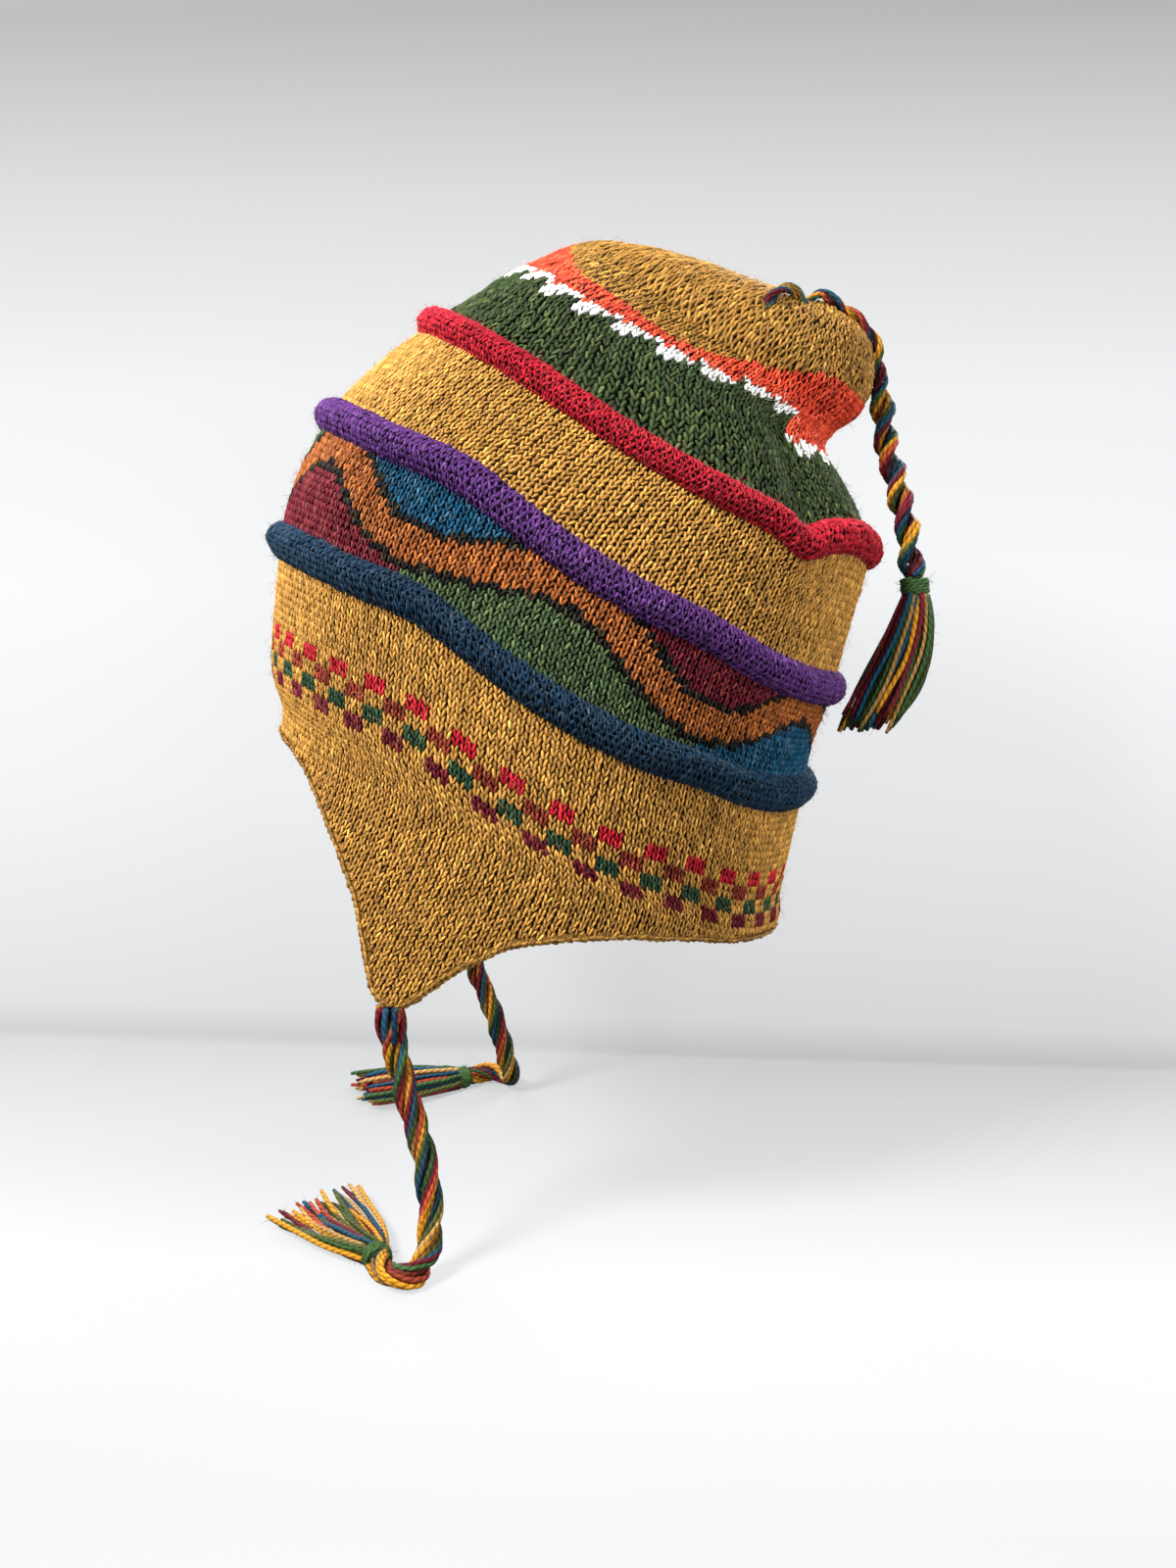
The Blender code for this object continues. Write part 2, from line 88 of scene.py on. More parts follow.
ARCH_TURN, ARCH_START = 2.2, 0.35  # a leg arches by this much of a cosine, from this far below its middle
TIP_DIP, TIP_FROM = 0.00045, 0.4  # its upper point dips under the next row, from this share of its length
WHITE_BOLD = 0.18  # how much thicker white yarn is, as a share
# How legs differ at an unrest of 1: in size, place along the wale, turn and lift in metres
SIZE_UNREST, SWAY_UNREST, TURN_UNREST, LIFT_UNREST = 0.07, 0.035, 0.10, 0.00010

# Rings of the fabric: front y, z and back y, z, half width, side drop, side twist
SECTIONS = np.array((
    (-0.570, -0.080, 0.310, -0.440, 0.450, 0.000, 0.040),  # 0 flap tips
    (-0.440, 0.180, 0.441, -0.183, 0.475, 0.000, 0.040),  # 1 hem
    (-0.451, 0.302, 0.455, -0.098, 0.490, 0.000, 0.045),  # 2 checks
    (-0.431, 0.483, 0.486, 0.054, 0.500, 0.000, 0.068),  # 3 navy low
    (-0.423, 0.538, 0.495, 0.108, 0.500, 0.000, 0.068),  # 4 navy high
    (-0.395, 0.620, 0.508, 0.168, 0.495, 0.000, 0.055),  # 5 wave
    (-0.350, 0.698, 0.531, 0.230, 0.480, 0.000, 0.045),  # 6 purple low
    (-0.321, 0.741, 0.545, 0.280, 0.470, 0.000, 0.045),  # 7 purple high
    (-0.245, 0.809, 0.568, 0.370, 0.445, 0.012, 0.040),  # 8 middle
    (-0.178, 0.856, 0.592, 0.459, 0.415, 0.024, 0.036),  # 9 red low
    (-0.140, 0.883, 0.591, 0.506, 0.400, 0.024, 0.036),  # 10 red high
    (-0.085, 0.912, 0.560, 0.580, 0.375, 0.024, 0.030),  # 11 green
    (-0.022, 0.951, 0.517, 0.656, 0.330, 0.020, 0.020),  # 12 zigzag
    (0.096, 1.000, 0.530, 0.689, 0.205, 0.010, 0.000),  # 13 coral top
    (0.184, 0.997, 0.573, 0.722, 0.190, 0.000, 0.000),  # 14 crown low
    (0.285, 0.972, 0.595, 0.770, 0.160, 0.000, 0.000),  # 15 crown mid
    (0.375, 0.938, 0.592, 0.828, 0.115, 0.000, 0.000),  # 16 crown high
    (0.440, 0.916, 0.562, 0.878, 0.055, 0.000, 0.000),  # 17 crown end
))

# Dents and kinks: angle, level, angle spread, level spread, inward, lift
FOLDS = (
    (46, 11.2, 9, 1.1, 0.100, 0.000),
    (66, 9.6, 15, 1.2, 0.000, 0.022),
    (128, 11.2, 11, 1.1, 0.070, 0.000),
    (30, 15.2, 30, 1.0, 0.060, -0.010),
    (-18, 3.5, 13, 1.0, 0.000, 0.026),
    (38, 3.5, 11, 1.0, 0.000, 0.014),
    (-20, 6.5, 13, 1.0, 0.000, 0.022),
    (30, 6.5, 12, 1.0, 0.000, 0.016),
    (43, 9.5, 7, 0.9, 0.000, -0.028),
    (-2, 9.5, 25, 0.9, 0.000, -0.010),
    (196, 3.5, 13, 1.0, 0.000, 0.020),
    (140, 3.5, 11, 1.0, 0.000, 0.012),
    (204, 6.5, 13, 1.0, 0.000, 0.018),
    (152, 6.5, 12, 1.0, 0.000, 0.014),
)

# Lower edge on each side: degrees from the side's middle towards the back, share of the drop
FLAP_EDGE = np.array((
    (-90, 0.00), (-60, 0.00), (-50, 0.07), (-38, 0.25), (-30, 0.38), (-22, 0.53), (-15, 0.76),
    (-9.5, 1.00), (-5.5, 1.00), (0, 0.62), (7.5, 0.37), (15, 0.25), (22, 0.15), (30, 0.05),
    (45, -0.07), (68, -0.10), (90, -0.08),
))

# Routes of the cords, the same as the solids'
TOP_BRAID_ROUTE = (
    (0.0138, 0.0775, 0.1922), (0.0115, 0.0814, 0.1919), (0.0085, 0.0855, 0.1911),
    (0.0054, 0.0900, 0.1898), (0.0022, 0.0941, 0.1890), (0.0000, 0.0991, 0.1880),
    (-0.0025, 0.1047, 0.1862), (-0.0043, 0.1100, 0.1838), (-0.0058, 0.1152, 0.1798),
    (-0.0062, 0.1192, 0.1748), (-0.0062, 0.1222, 0.1690), (-0.0060, 0.1238, 0.1625),
    (-0.0058, 0.1242, 0.1560), (-0.0052, 0.1242, 0.1500), (-0.0040, 0.1245, 0.1430),
    (-0.0020, 0.1256, 0.1350), (0.0000, 0.1275, 0.1265), (0.0020, 0.1298, 0.1175),
    (0.0040, 0.1320, 0.1080), (0.0052, 0.1337, 0.0990), (0.0060, 0.1350, 0.0900),
)
# The same braid as it is seen: in and out of the crown in two small loops, then down behind the crown's edge
THREADED_ROUTE = (
    (0.0263, 0.0804, 0.1757), (0.0262, 0.0851, 0.1812), (0.0215, 0.0893, 0.1838),
    (0.0189, 0.0929, 0.1821), (0.0169, 0.0950, 0.1786), (0.0100, 0.1004, 0.1839),
    (0.0098, 0.1047, 0.1821), (0.0080, 0.1085, 0.1792), (0.0058, 0.1130, 0.1768),
    (0.0033, 0.1165, 0.1734), (0.0012, 0.1198, 0.1678), (-0.0020, 0.1206, 0.1615),
    (-0.0040, 0.1215, 0.1555), (-0.0045, 0.1228, 0.1505), (-0.0045, 0.1240, 0.1465),
) + TOP_BRAID_ROUTE[14:]
LEFT_TIE_ROUTE = (
    (0.0718, -0.0368, -0.0475), (0.0718, -0.0362, -0.0560), (0.0722, -0.0348, -0.0640),
    (0.0730, -0.0325, -0.0730), (0.0740, -0.0298, -0.0820), (0.0752, -0.0270, -0.0910),
    (0.0764, -0.0248, -0.1005), (0.0778, -0.0234, -0.1100), (0.0798, -0.0228, -0.1180),
    (0.0832, -0.0228, -0.1245), (0.0882, -0.0238, -0.1284), (0.0935, -0.0265, -0.1296),
    (0.0943, -0.0320, -0.1296), (0.0900, -0.0362, -0.1296), (0.0845, -0.0390, -0.1296),
)
RIGHT_TIE_ROUTE = (
    (-0.0718, -0.0368, -0.0475), (-0.0719, -0.0364, -0.0560), (-0.0724, -0.0355, -0.0640),
    (-0.0733, -0.0335, -0.0730), (-0.0743, -0.0305, -0.0820), (-0.0755, -0.0272, -0.0910),
    (-0.0768, -0.0244, -0.1005), (-0.0784, -0.0222, -0.1100), (-0.0806, -0.0207, -0.1180),
    (-0.0840, -0.0200, -0.1245), (-0.0890, -0.0206, -0.1284), (-0.0945, -0.0235, -0.1296),
    (-0.0962, -0.0290, -0.1296), (-0.0945, -0.0345, -0.1296), (-0.0910, -0.0392, -0.1296),
)

# Cords: the spacing of a route's points, and the top cord's slim start, threaded through the crown
ROUTE_SPACING = 0.0014
SLIM_LENGTH = 0.042
FILL_LENGTH = 0.040  # the length after that over which it fills out
SLIM_SHARE = 0.40  # its thickness at the start, as a share of its full one
PLY_STRANDS = 6
PLY_OUT = {2: 0.235, 3: 0.26}  # by the number of plies: how far each is from the middle, in diameters
GOLDEN_TURN = 2.39996  # turn in radians that spreads a tassel's strands evenly
TOP_ROPE = ("amber", "amber", "wine", "sea", "sea", "olive", "wine", "brick", "amber", "leaf", "teal", "wine")
TIE_ROPE = ("amber", "amber", "sand", "olive", "sea", "wine", "amber", "amber", "brick", "wine", "leaf",
            "sea", "wine", "sea", "olive", "amber", "brick", "leaf")
TOP_TUFT = ("leaf", "olive", "leaf", "sand", "sea", "wine", "wine", "leaf", "amber", "teal")
TIE_TUFT = ("wine", "leaf", "sand", "sea", "olive", "amber", "sand", "wine", "teal", "brick")
LOOP_YARNS = ("wine", "navy", "wine", "brick", "olive", "wine", "navy", "sea")

# Checks: how many pairs go round, the degrees where the first starts, and first row, yarn and half of a pair
CHECK_PAIRS = 37
CHECK_START = 1.8
CHECK_ROWS = (
    (9, "bright red", True), (11, "dull red", False), (13, "check green", True), (15, "burgundy", False),
)

# Edges of the wave, by degrees from a crest: shares of the band's height
WAVE_EDGES = np.array((
    (0, 0.76, 1.12), (4, 0.73, 1.08), (8, 0.64, 1.02), (12, 0.52, 0.93), (16, 0.40, 0.80),
    (20, 0.29, 0.64), (24, 0.21, 0.53), (27, 0.17, 0.49), (30, 0.155, 0.475),
))
WAVE_TURN = 60  # degrees from crest to crest
WAVE_CREST = 6  # degrees from the wearer's left to a crest
WAVE_ROWS = 14
OUTLINE_SHARE = 0.085  # height of the black outline, as a share of the band's

# Degrees round the hat and the level there, of the zigzag and of the coral's upper edge
ZIGZAG_LINE = np.array((
    (-180, 12.00), (-90, 11.95), (-24, 11.90), (0, 12.06), (11, 12.14), (27, 12.37), (38, 12.70),
    (47, 12.24), (53, 11.60), (62, 11.50), (90, 11.60), (118, 11.60), (133, 12.24), (142, 12.60),
    (153, 12.37), (169, 12.14), (180, 12.00),
))
CORAL_TOP = np.array((
    (-180, 12.45), (-142, 12.50), (-90, 13.00), (-38, 12.45), (-1, 12.45), (13, 12.75), (24, 13.25),
    (46, 14.30), (90, 14.30), (134, 14.30), (156, 13.25), (167, 12.75), (180, 12.45),
))
# The zigzag's figure, five wales wide: the first white row of each wale and the first coral one
ZIGZAG_ROWS = np.array(((2, 3), (0, 2), (0, 3), (1, 3), (2, 3)))
ZIGZAG_REPEAT = 5
ZIGZAG_WALES = 130
ZIGZAG_LIFT = 0.7  # rows that the figure's lowest stitch may be under the line
ROW_LEVELS = 0.14  # one row of the band, as a share of a ring of the fabric

# The crown's parts: levels, wales and rows. The rings over its end: share of its radius, and stitches
CROWN_PARTS = ((13.0, 14.3, 114, 7), (14.3, 15.4, 90, 6), (15.4, 16.3, 60, 5), (16.3, 17.0, 33, 4))
TIP_RINGS = ((0.90, 26), (0.68, 20), (0.46, 14), (0.24, 8), (0.06, 3))

# One unit of a mapped coordinate is one full wave of a Wave texture at scale 1, along one diagonal axis
WAVE_CYCLE = TURN / 10

# The light box
FLOOR_Z = -0.1340
WALL_X = -0.139
BEND_RADIUS = 0.004
STAGE_REACH = 4.0
GLOW_TINT = (0.985, 1.0, 1.012)
# How strongly the paper glows: heights up the wall in metres, and below the floor's level distances along it
# The glow paints the room's light and shade: dimmer towards the top of the wall, and a dip of painted shade
# in the bend between floor and wall
PAPER_GLOW = (
    (-0.474, 0.63), (-0.408, 0.69), (-0.350, 0.70), (-0.273, 0.56), (-0.191, 0.48), (-0.154, 0.43),
    (-0.136, 0.41), (-0.128, 0.48), (-0.116, 0.58), (-0.078, 0.63), (-0.008, 0.70), (0.083, 0.73),
    (0.170, 0.65), (0.255, 0.45), (0.330, 0.20),
)
LIGHT_AIM = (0, 0.02, 0.03)
# Name, place, size in metres and power in watts
LIGHTS = (
    ("key softbox", (0.70, -0.68, 0.96), 0.38, 37.0),
    ("fill softbox", (0.9, 0.7, 0.5), 0.8, 13.0),
    ("rear softbox", (-0.75, 0.70, 0.70), 0.7, 16.0),
    ("far softbox", (-0.90, -0.60, 0.60), 0.7, 12.0),
)


# Colours

def linear(hex_colour):
    """An sRGB hex colour as linear red, green and blue."""
    parts = [int(hex_colour[k:k + 2], 16) / 255 for k in (1, 3, 5)]
    return np.array([p / 12.92 if p <= 0.04045 else ((p + 0.055) / 1.055) ** 2.4 for p in parts])


YARN = {name: linear(value) for name, value in {
    "mustard": "#BA873D", "navy": "#062B43", "purple": "#522869", "red": "#A60D25",
    "bright red": "#B8162A", "dull red": "#843020", "green": "#2D3E1E", "moss": "#3D5030",
    "check green": "#24422C", "burgundy": "#661022", "teal": "#034562", "rust": "#965222",
    "black": "#0A0909", "white": "#F4F2EC", "coral": "#DC462C", "amber": "#C8881C", "sea": "#1A4456",
    "wine": "#641020", "olive": "#464E22", "leaf": "#36562A", "binding": "#3A5A2A", "brick": "#AC4228",
    "sand": "#B48848", "old gold": "#9C7130",
}.items()}
PALE_FIBRE = linear("#5C5230")      # undyed fibre in every yarn, added where the heathering is light
WHITE_FROM = 0.6                    # yarn whose darkest channel is above this counts as white


# The camera, and the light box that the hat stands in

def build_camera():
    """The photograph's view: from the wearer's left, a little above."""
    turn, rise, distance = math.radians(95), math.radians(8.5), 0.534
    aim = Vector((0, 0.0217, 0.0153))
    back = Vector((math.sin(turn) * math.cos(rise), -math.cos(turn) * math.cos(rise), math.sin(rise)))
    bpy.ops.object.camera_add(location=aim + back * distance)
    camera = bpy.context.object
    camera.name = "photograph_view"
    camera.rotation_mode = "QUATERNION"
    camera.rotation_quaternion = (-back).to_track_quat("-Z", "Y")
    camera.data.sensor_width = 36
    camera.data.lens = 33.75
    camera.data.clip_start = 0.01
    bpy.context.scene.camera = camera


build_camera()


# Arrays of points and directions

def unit(vectors):
    return vectors / np.maximum(np.linalg.norm(vectors, axis=-1, keepdims=True), 1e-12)


def direction(turn, first, second):
    """The direction at an angle from the first of two directions towards the second."""
    return np.cos(turn)[..., None] * first + np.sin(turn)[..., None] * second


def spline(table, place):
    """Rows of an array at whole places, and between them rows on a smooth curve."""
    last = len(table) - 1
    low = np.clip(np.floor(place), 0, last - 1).astype(int)
    share = (place - low)[..., None]
    a, b, c, d = (table[np.clip(low + step, 0, last)] for step in (-1, 0, 1, 2))
    return 0.5 * (2 * b + (c - a) * share + (2 * a - 5 * b + 4 * c - d) * share ** 2
                  + (3 * b - a - 3 * c + d) * share ** 3)


def distances(path):
    """How far along a path each of its points is."""
    steps = np.linalg.norm(np.diff(path, axis=0), axis=-1)
    return np.concatenate((np.zeros_like(steps[:1]), np.cumsum(steps, 0)))


# The knitted surface, for whole arrays of levels and angles

def fabric(level, angle):
    """Points on the outside of the fabric: level counts sections, angle goes from left to back."""
    level, angle = np.broadcast_arrays(np.asarray(level, float), np.asarray(angle, float))
    front_y, front_z, back_y, back_z, half_width, drop, twist = np.moveaxis(spline(SECTIONS, level), -1, 0)
    sine, cosine = np.sin(angle), np.cos(angle)
    inward, lift = 0, 0
    for fold_angle, fold_level, wide, tall, dent, rise in FOLDS:
        turn = (np.degrees(angle) - fold_angle + 180) % 360 - 180
        felt = np.exp(-(turn / wide) ** 2 - ((level - fold_level) / tall) ** 2)
        inward, lift = inward + dent * felt, lift + rise * felt
    radius = 1 - inward
    return np.stack((
        half_width * cosine * radius * HAT_WIDTH,
        ((front_y + back_y) / 2 + (back_y - front_y) / 2 * sine * radius) * HAT_LENGTH,
        ((front_z + back_z) / 2 + (back_z - front_z) / 2 * sine * radius
         - (drop + twist * sine) * cosine ** 2 + lift) * HAT_HEIGHT,
    ), -1)


def fabric_slopes(level, angle):
    """The change of place per level and per radian, and the outward direction."""
    per_level = (fabric(level + STEP, angle) - fabric(level - STEP, angle)) / (2 * STEP)
    per_angle = (fabric(level, angle + STEP) - fabric(level, angle - STEP)) / (2 * STEP)
    return per_level, per_angle, unit(np.cross(per_angle, per_level))


def lower_edge(angle):
    """The level of the hem and of the flaps' edge, its corners eased by a few degrees."""
    turn = np.degrees(np.arctan2(np.sin(angle), np.abs(np.cos(angle))))
    eased = [np.interp(turn + ease, FLAP_EDGE[:, 0], FLAP_EDGE[:, 1]) for ease in (-2.0, -1.0, 0.0, 1.0, 2.0)]
    return 1 - np.mean(eased, 0)


def climb(low, high, angle):
    """Levels in fine steps from low to high at each angle, and the distances to them over the fabric."""
    levels = low + (high - low) * np.linspace(0, 1, 60)[:, None] * np.ones_like(angle)
    return levels, distances(fabric(levels, angle))


def levels_at(heights, levels, climbed):
    """The levels at these distances over the fabric, at each angle."""
    columns = range(heights.shape[1])
    return np.stack([np.interp(heights[:, k], climbed[:, k], levels[:, k]) for k in columns], 1)


# Meshes from arrays

def new_piece(name, points, faces, colours=None, along=None, materials=(), second_from=None):
    """A smooth mesh of triangles or quads, with its yarn colour, painted shade included, and the way along
    its yarn.

    Faces from number second_from on take the second material.
    """
    points, faces = np.asarray(points, float), np.asarray(faces, int)
    mesh = bpy.data.meshes.new(name)
    mesh.vertices.add(len(points))
    mesh.vertices.foreach_set("co", points.ravel())
    mesh.loops.add(faces.size)
    mesh.loops.foreach_set("vertex_index", faces.ravel())
    mesh.polygons.add(len(faces))
    mesh.polygons.foreach_set("loop_start", np.arange(0, faces.size, faces.shape[1]))
    mesh.polygons.foreach_set("use_smooth", np.ones(len(faces), bool))
    if colours is not None:
        # The yarn colour holds the dye with painted light and shade in it
        layer = mesh.attributes.new("yarn_colour_and_painted_shade", "FLOAT_COLOR", "POINT")
        solid = np.concatenate((colours, np.ones((len(colours), 1))), 1)
        layer.data.foreach_set("color", solid.ravel())
    if along is not None:
        layer = mesh.uv_layers.new(name="yarn_way")
        ways = np.asarray(along, float)[faces]
        # Faces across the seam round a strand take the far end's values plus one turn
        round_yarn = ways[..., 0]
        wraps = (np.ptp(round_yarn, axis=1) > 0.5) & (np.ptp(round_yarn, axis=1) < 1.0)
        ways[..., 0] += (round_yarn < round_yarn.max(1, keepdims=True) - 0.5) & wraps[:, None]
        layer.data.foreach_set("uv", ways.ravel())
    for material in materials:
        mesh.materials.append(material)
    if second_from is not None:
        mesh.polygons.foreach_set("material_index", (np.arange(len(faces)) >= second_from).astype(int))
    mesh.update(calc_edges=True)
    mesh.validate()
    piece = bpy.data.objects.new(name, mesh)
    bpy.context.scene.collection.objects.link(piece)
    return piece


def hat_piece(name, parts, materials, node=None):
    """Joins parts into one piece of the hat. Its last part takes the second material, if there is one.

    A part is its points, faces, colours and the way along its yarn.
    """
    offsets = np.cumsum([0] + [len(part[0]) for part in parts])
    points, faces, colours, ways = (np.concatenate(rows) for rows in zip(*parts))
    faces = np.concatenate([part[1] + offset for part, offset in zip(parts, offsets)])
    second_from = len(faces) - len(parts[-1][1]) if len(materials) > 1 else None
    piece = new_piece(name, points, faces, colours, ways, materials, second_from)
    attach(piece, "root")
    if node:
        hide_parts(node)
    return piece


def grid_faces(lower, upper):
    """Two triangles between every two corners of the lower rings and the two above them."""
    quads = np.stack((lower, np.roll(lower, -1, 1), np.roll(upper, -1, 1), upper), -1).reshape(-1, 4)
    return np.concatenate((quads[:, [0, 1, 2]], quads[:, [0, 2, 3]]))


def closed_grid(rings, colours, ways):
    """A surface from rings of points that closes both ways round."""
    index = np.arange(rings.shape[0] * rings.shape[1]).reshape(rings.shape[:2])
    faces = grid_faces(index, np.roll(index, -1, 0))
    return rings.reshape(-1, 3), faces, colours.reshape(-1, 3), ways.reshape(-1, 2)


def capped_grid(rings, tips):
    """Points and faces of a surface from rings of points that ends on a point at both ends."""
    index = np.arange(rings.shape[0] * rings.shape[1]).reshape(rings.shape[:2])
    first, last, tip = index[0], index[-1], np.full(index.shape[1], index.size)
    faces = np.concatenate((
        grid_faces(index[:-1], index[1:]),
        np.stack((np.roll(first, -1), first, tip), -1),
        np.stack((last, np.roll(last, -1), tip + 1), -1)))
    return np.concatenate((rings.reshape(-1, 3), tips)), faces


def spindle(sides):
    """A short spindle of yarn, modelled once: a cylinder whose capped ends are drawn out to points.

    Gives its corners, each as (across, out, along) with along from -0.5 to 0.5, and its triangles.
    """
    bpy.ops.mesh.primitive_cylinder_add(vertices=sides, radius=1, depth=0.5, end_fill_type="TRIFAN")
    piece = bpy.context.object
    for vert in piece.data.vertices:
        if vert.co.xy.length < 0.01:
            vert.co.z *= 2
    bpy.ops.object.mode_set(mode="EDIT")
    bpy.ops.mesh.select_all(action="SELECT")
    bpy.ops.mesh.quads_convert_to_tris()
    bpy.ops.object.mode_set(mode="OBJECT")
    corners = np.array([vert.co[:] for vert in piece.data.vertices])
    faces = np.array([face.vertices[:] for face in piece.data.polygons])
    bpy.data.objects.remove(piece, do_unlink=True)
    return corners, faces


LEG = spindle(4)
SHORT_LEG = spindle(3)


def stitch_legs(centre, across, up, out, colours, leg, style):
    """Both legs of knit stitches. across and up are one wale and one row, out the outward direction."""
    width, thick, lean, reach, rise, unrest, spread, pale, floor = style
    shape, faces = leg
    count, along = len(centre), shape[:, 2]
    points, tints, ways = [], [], []
    # Painted light and shade: a leg's colour is full on its crest and darkened on its sides and ends, where
    # it dips between its neighbours
    crest = floor + (1 - floor) * np.clip(shape[:, 1], 0, 1)
    bold = 1 + WHITE_BOLD * (colours.min(1, keepdims=True) > WHITE_FROM)
    for side in (-1, 1):
        size = chance.normal(1, SIZE_UNREST * min(unrest, 2), (count, 1)) * bold
        sway = chance.normal(0, SWAY_UNREST * unrest, (count, 1))
        turn = chance.normal(0, TURN_UNREST * unrest, (count, 1))
        lift = chance.normal(0, LIFT_UNREST, (count, 1)) * unrest
        a = side * (LEG_OUT + lean * along) + turn * along + sway + shape[:, 0] * width * size
        b = reach * along * size
        arch = rise * np.cos(along * ARCH_TURN - ARCH_START) - TIP_DIP * (along > TIP_FROM)
        n = shape[:, 1] * thick * size + lift + arch
        points.append(centre[:, None] + a[..., None] * across[:, None] + b[..., None] * up[:, None]
                      + n[..., None] * out[:, None])
        tone = np.exp(chance.normal(0.10, spread, (count, 1)))
        heather = np.clip(chance.normal(0, pale, (count, 1)), 0, 0.5)
        yarn = colours * tone * (1 + 1.6 * heather) + PALE_FIBRE * heather
        tints.append(yarn[:, None] * crest[None, :, None])
        way = np.stack((np.arctan2(shape[:, 1], shape[:, 0]) / TURN, along * 0.5), -1)
        way = way[None] + chance.random((count, 1, 1))
        ways.append(np.broadcast_to(way, (count, len(shape), 2)))
    points, tints, ways = (np.concatenate(part) for part in (points, tints, ways))
    joined = (faces[None] + np.arange(len(points))[:, None, None] * len(shape)).reshape(-1, 3)
    return points.reshape(-1, 3), joined, np.clip(tints.reshape(-1, 3), 0, 1), ways.reshape(-1, 2)


# Corners 0 to 2 are a fibre's root, 3 to 5 its middle and 6 its point
FIBRE_FACES = np.array((
    (0, 2, 1), (0, 1, 4), (0, 4, 3), (1, 2, 5), (1, 5, 4), (2, 0, 3), (2, 3, 5),
    (3, 4, 6), (4, 5, 6), (5, 3, 6),
))


def stray_fibres(centre, out, colours, count, length, stand):
    """Loose fibres of the spun wool: three-sided threads that leave the yarn, bend and end on a point."""
    chosen = chance.integers(0, len(centre), count)
    root, away, tint = centre[chosen], out[chosen], colours[chosen]
    loose = unit(chance.normal(size=(count, 3)))
    loose = unit(loose - away * (loose * away).sum(-1, keepdims=True))
    reach = length * chance.uniform(0.4, 1.4, (count, 1))
    lift = stand * chance.uniform(0.1, 1.0, (count, 1))
    bent = chance.normal(0, FIBRE_BEND, (count, 3))
    middle = root + (loose * 0.5 + away * lift * 0.7) * reach
    tip = middle + (unit(loose + bent) * 0.5 + away * lift * 0.3) * reach
    way = unit(tip - root)
    side = unit(np.cross(way, away + loose * 0.1))
    other = np.cross(way, side)
    ring = direction(np.arange(3) * TURN / 3, side[:, None], other[:, None]) * FIBRE_RADIUS
    points = np.concatenate((root[:, None] + ring, middle[:, None] + ring * 0.8, tip[:, None]), 1)
    corners = points.shape[1]
    faces = (FIBRE_FACES[None] + np.arange(count)[:, None, None] * corners).reshape(-1, 3)
    # Painted light: fibres are made lighter than their yarn, as fine fibres look where light catches them
    tints = np.repeat(np.clip(tint * 1.5 + 0.07, 0, 1), corners, axis=0)
    return points.reshape(-1, 3), faces, tints, np.zeros((len(tints), 2))


# Materials

def new_material(name, values):
    """A material, its nodes and its shader, with values on the shader's own sockets."""
    material = bpy.data.materials.new(name)
    material.use_nodes = True
    shader = material.node_tree.nodes["Principled BSDF"]
    for socket, value in values.items():
        shader.inputs[socket].default_value = value
    return material, material.node_tree, shader


def add(tree, kind, values=()):
    """Adds a node. A value is another node's output, a number for a socket or a setting of the node."""
    node = tree.nodes.new("ShaderNode" + kind)
    for name, value in dict(values).items():
        if isinstance(value, bpy.types.NodeSocket):
            tree.links.new(value, node.inputs[name])
        elif name in node.inputs:
            node.inputs[name].default_value = value
        else:
            setattr(node, name, value)
    return node


def tint_with_painted_shade(tree, shader, shade, height, relief, depth):
    """Gives a shader the yarn's colour, which carries painted light and shade, times a shade from the caller
    that holds painted shade, and a relief.
    """
    yarn_and_shade = add(tree, "Attribute", {"attribute_name": "yarn_colour_and_painted_shade"})
    tinted = add(tree, "VectorMath", {"operation": "SCALE", "Vector": yarn_and_shade.outputs["Color"], "Scale": shade})
    tree.links.new(tinted.outputs["Vector"], shader.inputs["Base Color"])
    bump = add(tree, "Bump", {"Strength": relief, "Distance": depth, "Height": height})
    tree.links.new(bump.outputs["Normal"], shader.inputs["Normal"])


def wool(name, roughness, sheen, fleck_size, darkest, lightest, groove_shade, relief):
    """Spun wool: its dye and painted shade come with the yarn, its heathering, its twist and the painted
    shade between its plies from nodes.
    """
    material, tree, shader = new_material(name, {
        "Roughness": roughness, "Specular IOR Level": 0.18, "Sheen Weight": sheen, "Sheen Roughness": 0.5})
    place = add(tree, "TexCoord").outputs["Object"]
    # Heathering: lighter and darker fibres spun together
    flecks = add(tree, "TexNoise", {"Scale": 1 / fleck_size, "Detail": 3.0, "Roughness": 0.7,
                                    "Vector": place})
    spread = add(tree, "MapRange", {"From Min": 0.32, "From Max": 0.68, "To Min": darkest, "To Max": lightest,
                                    "Value": flecks.outputs["Fac"]})
    # Two plies wind round each other along the yarn; the colour is darkened between them as painted shade
    way = add(tree, "UVMap", {"uv_map": "yarn_way"})
    turned = add(tree, "Mapping", {"Scale": (WAVE_CYCLE * 2, WAVE_CYCLE * 2, 1.0),
                                   "Vector": way.outputs["UV"]})
    plies = add(tree, "TexWave", {"bands_direction": "DIAGONAL", "Scale": 1.0, "Distortion": 0.5,
                                  "Vector": turned.outputs["Vector"]})
    painted_groove_shade = add(tree, "MapRange", {"From Max": 0.6, "To Min": groove_shade, "To Max": 1.0,
                                    "Value": plies.outputs["Fac"]})
    shade = add(tree, "Math", {"operation": "MULTIPLY", 0: spread.outputs["Result"],
                               1: painted_groove_shade.outputs["Result"]})
    # Single fibres on the plies, a quarter of a millimetre apart
    fibres = add(tree, "TexNoise", {"Scale": 4000.0, "Detail": 2.0, "Vector": place})
    height = add(tree, "Math", {"operation": "ADD", 0: plies.outputs["Fac"], 1: fibres.outputs["Fac"]})
    tint_with_painted_shade(tree, shader, shade.outputs["Value"], height.outputs["Value"], relief, 0.0003)
    return material


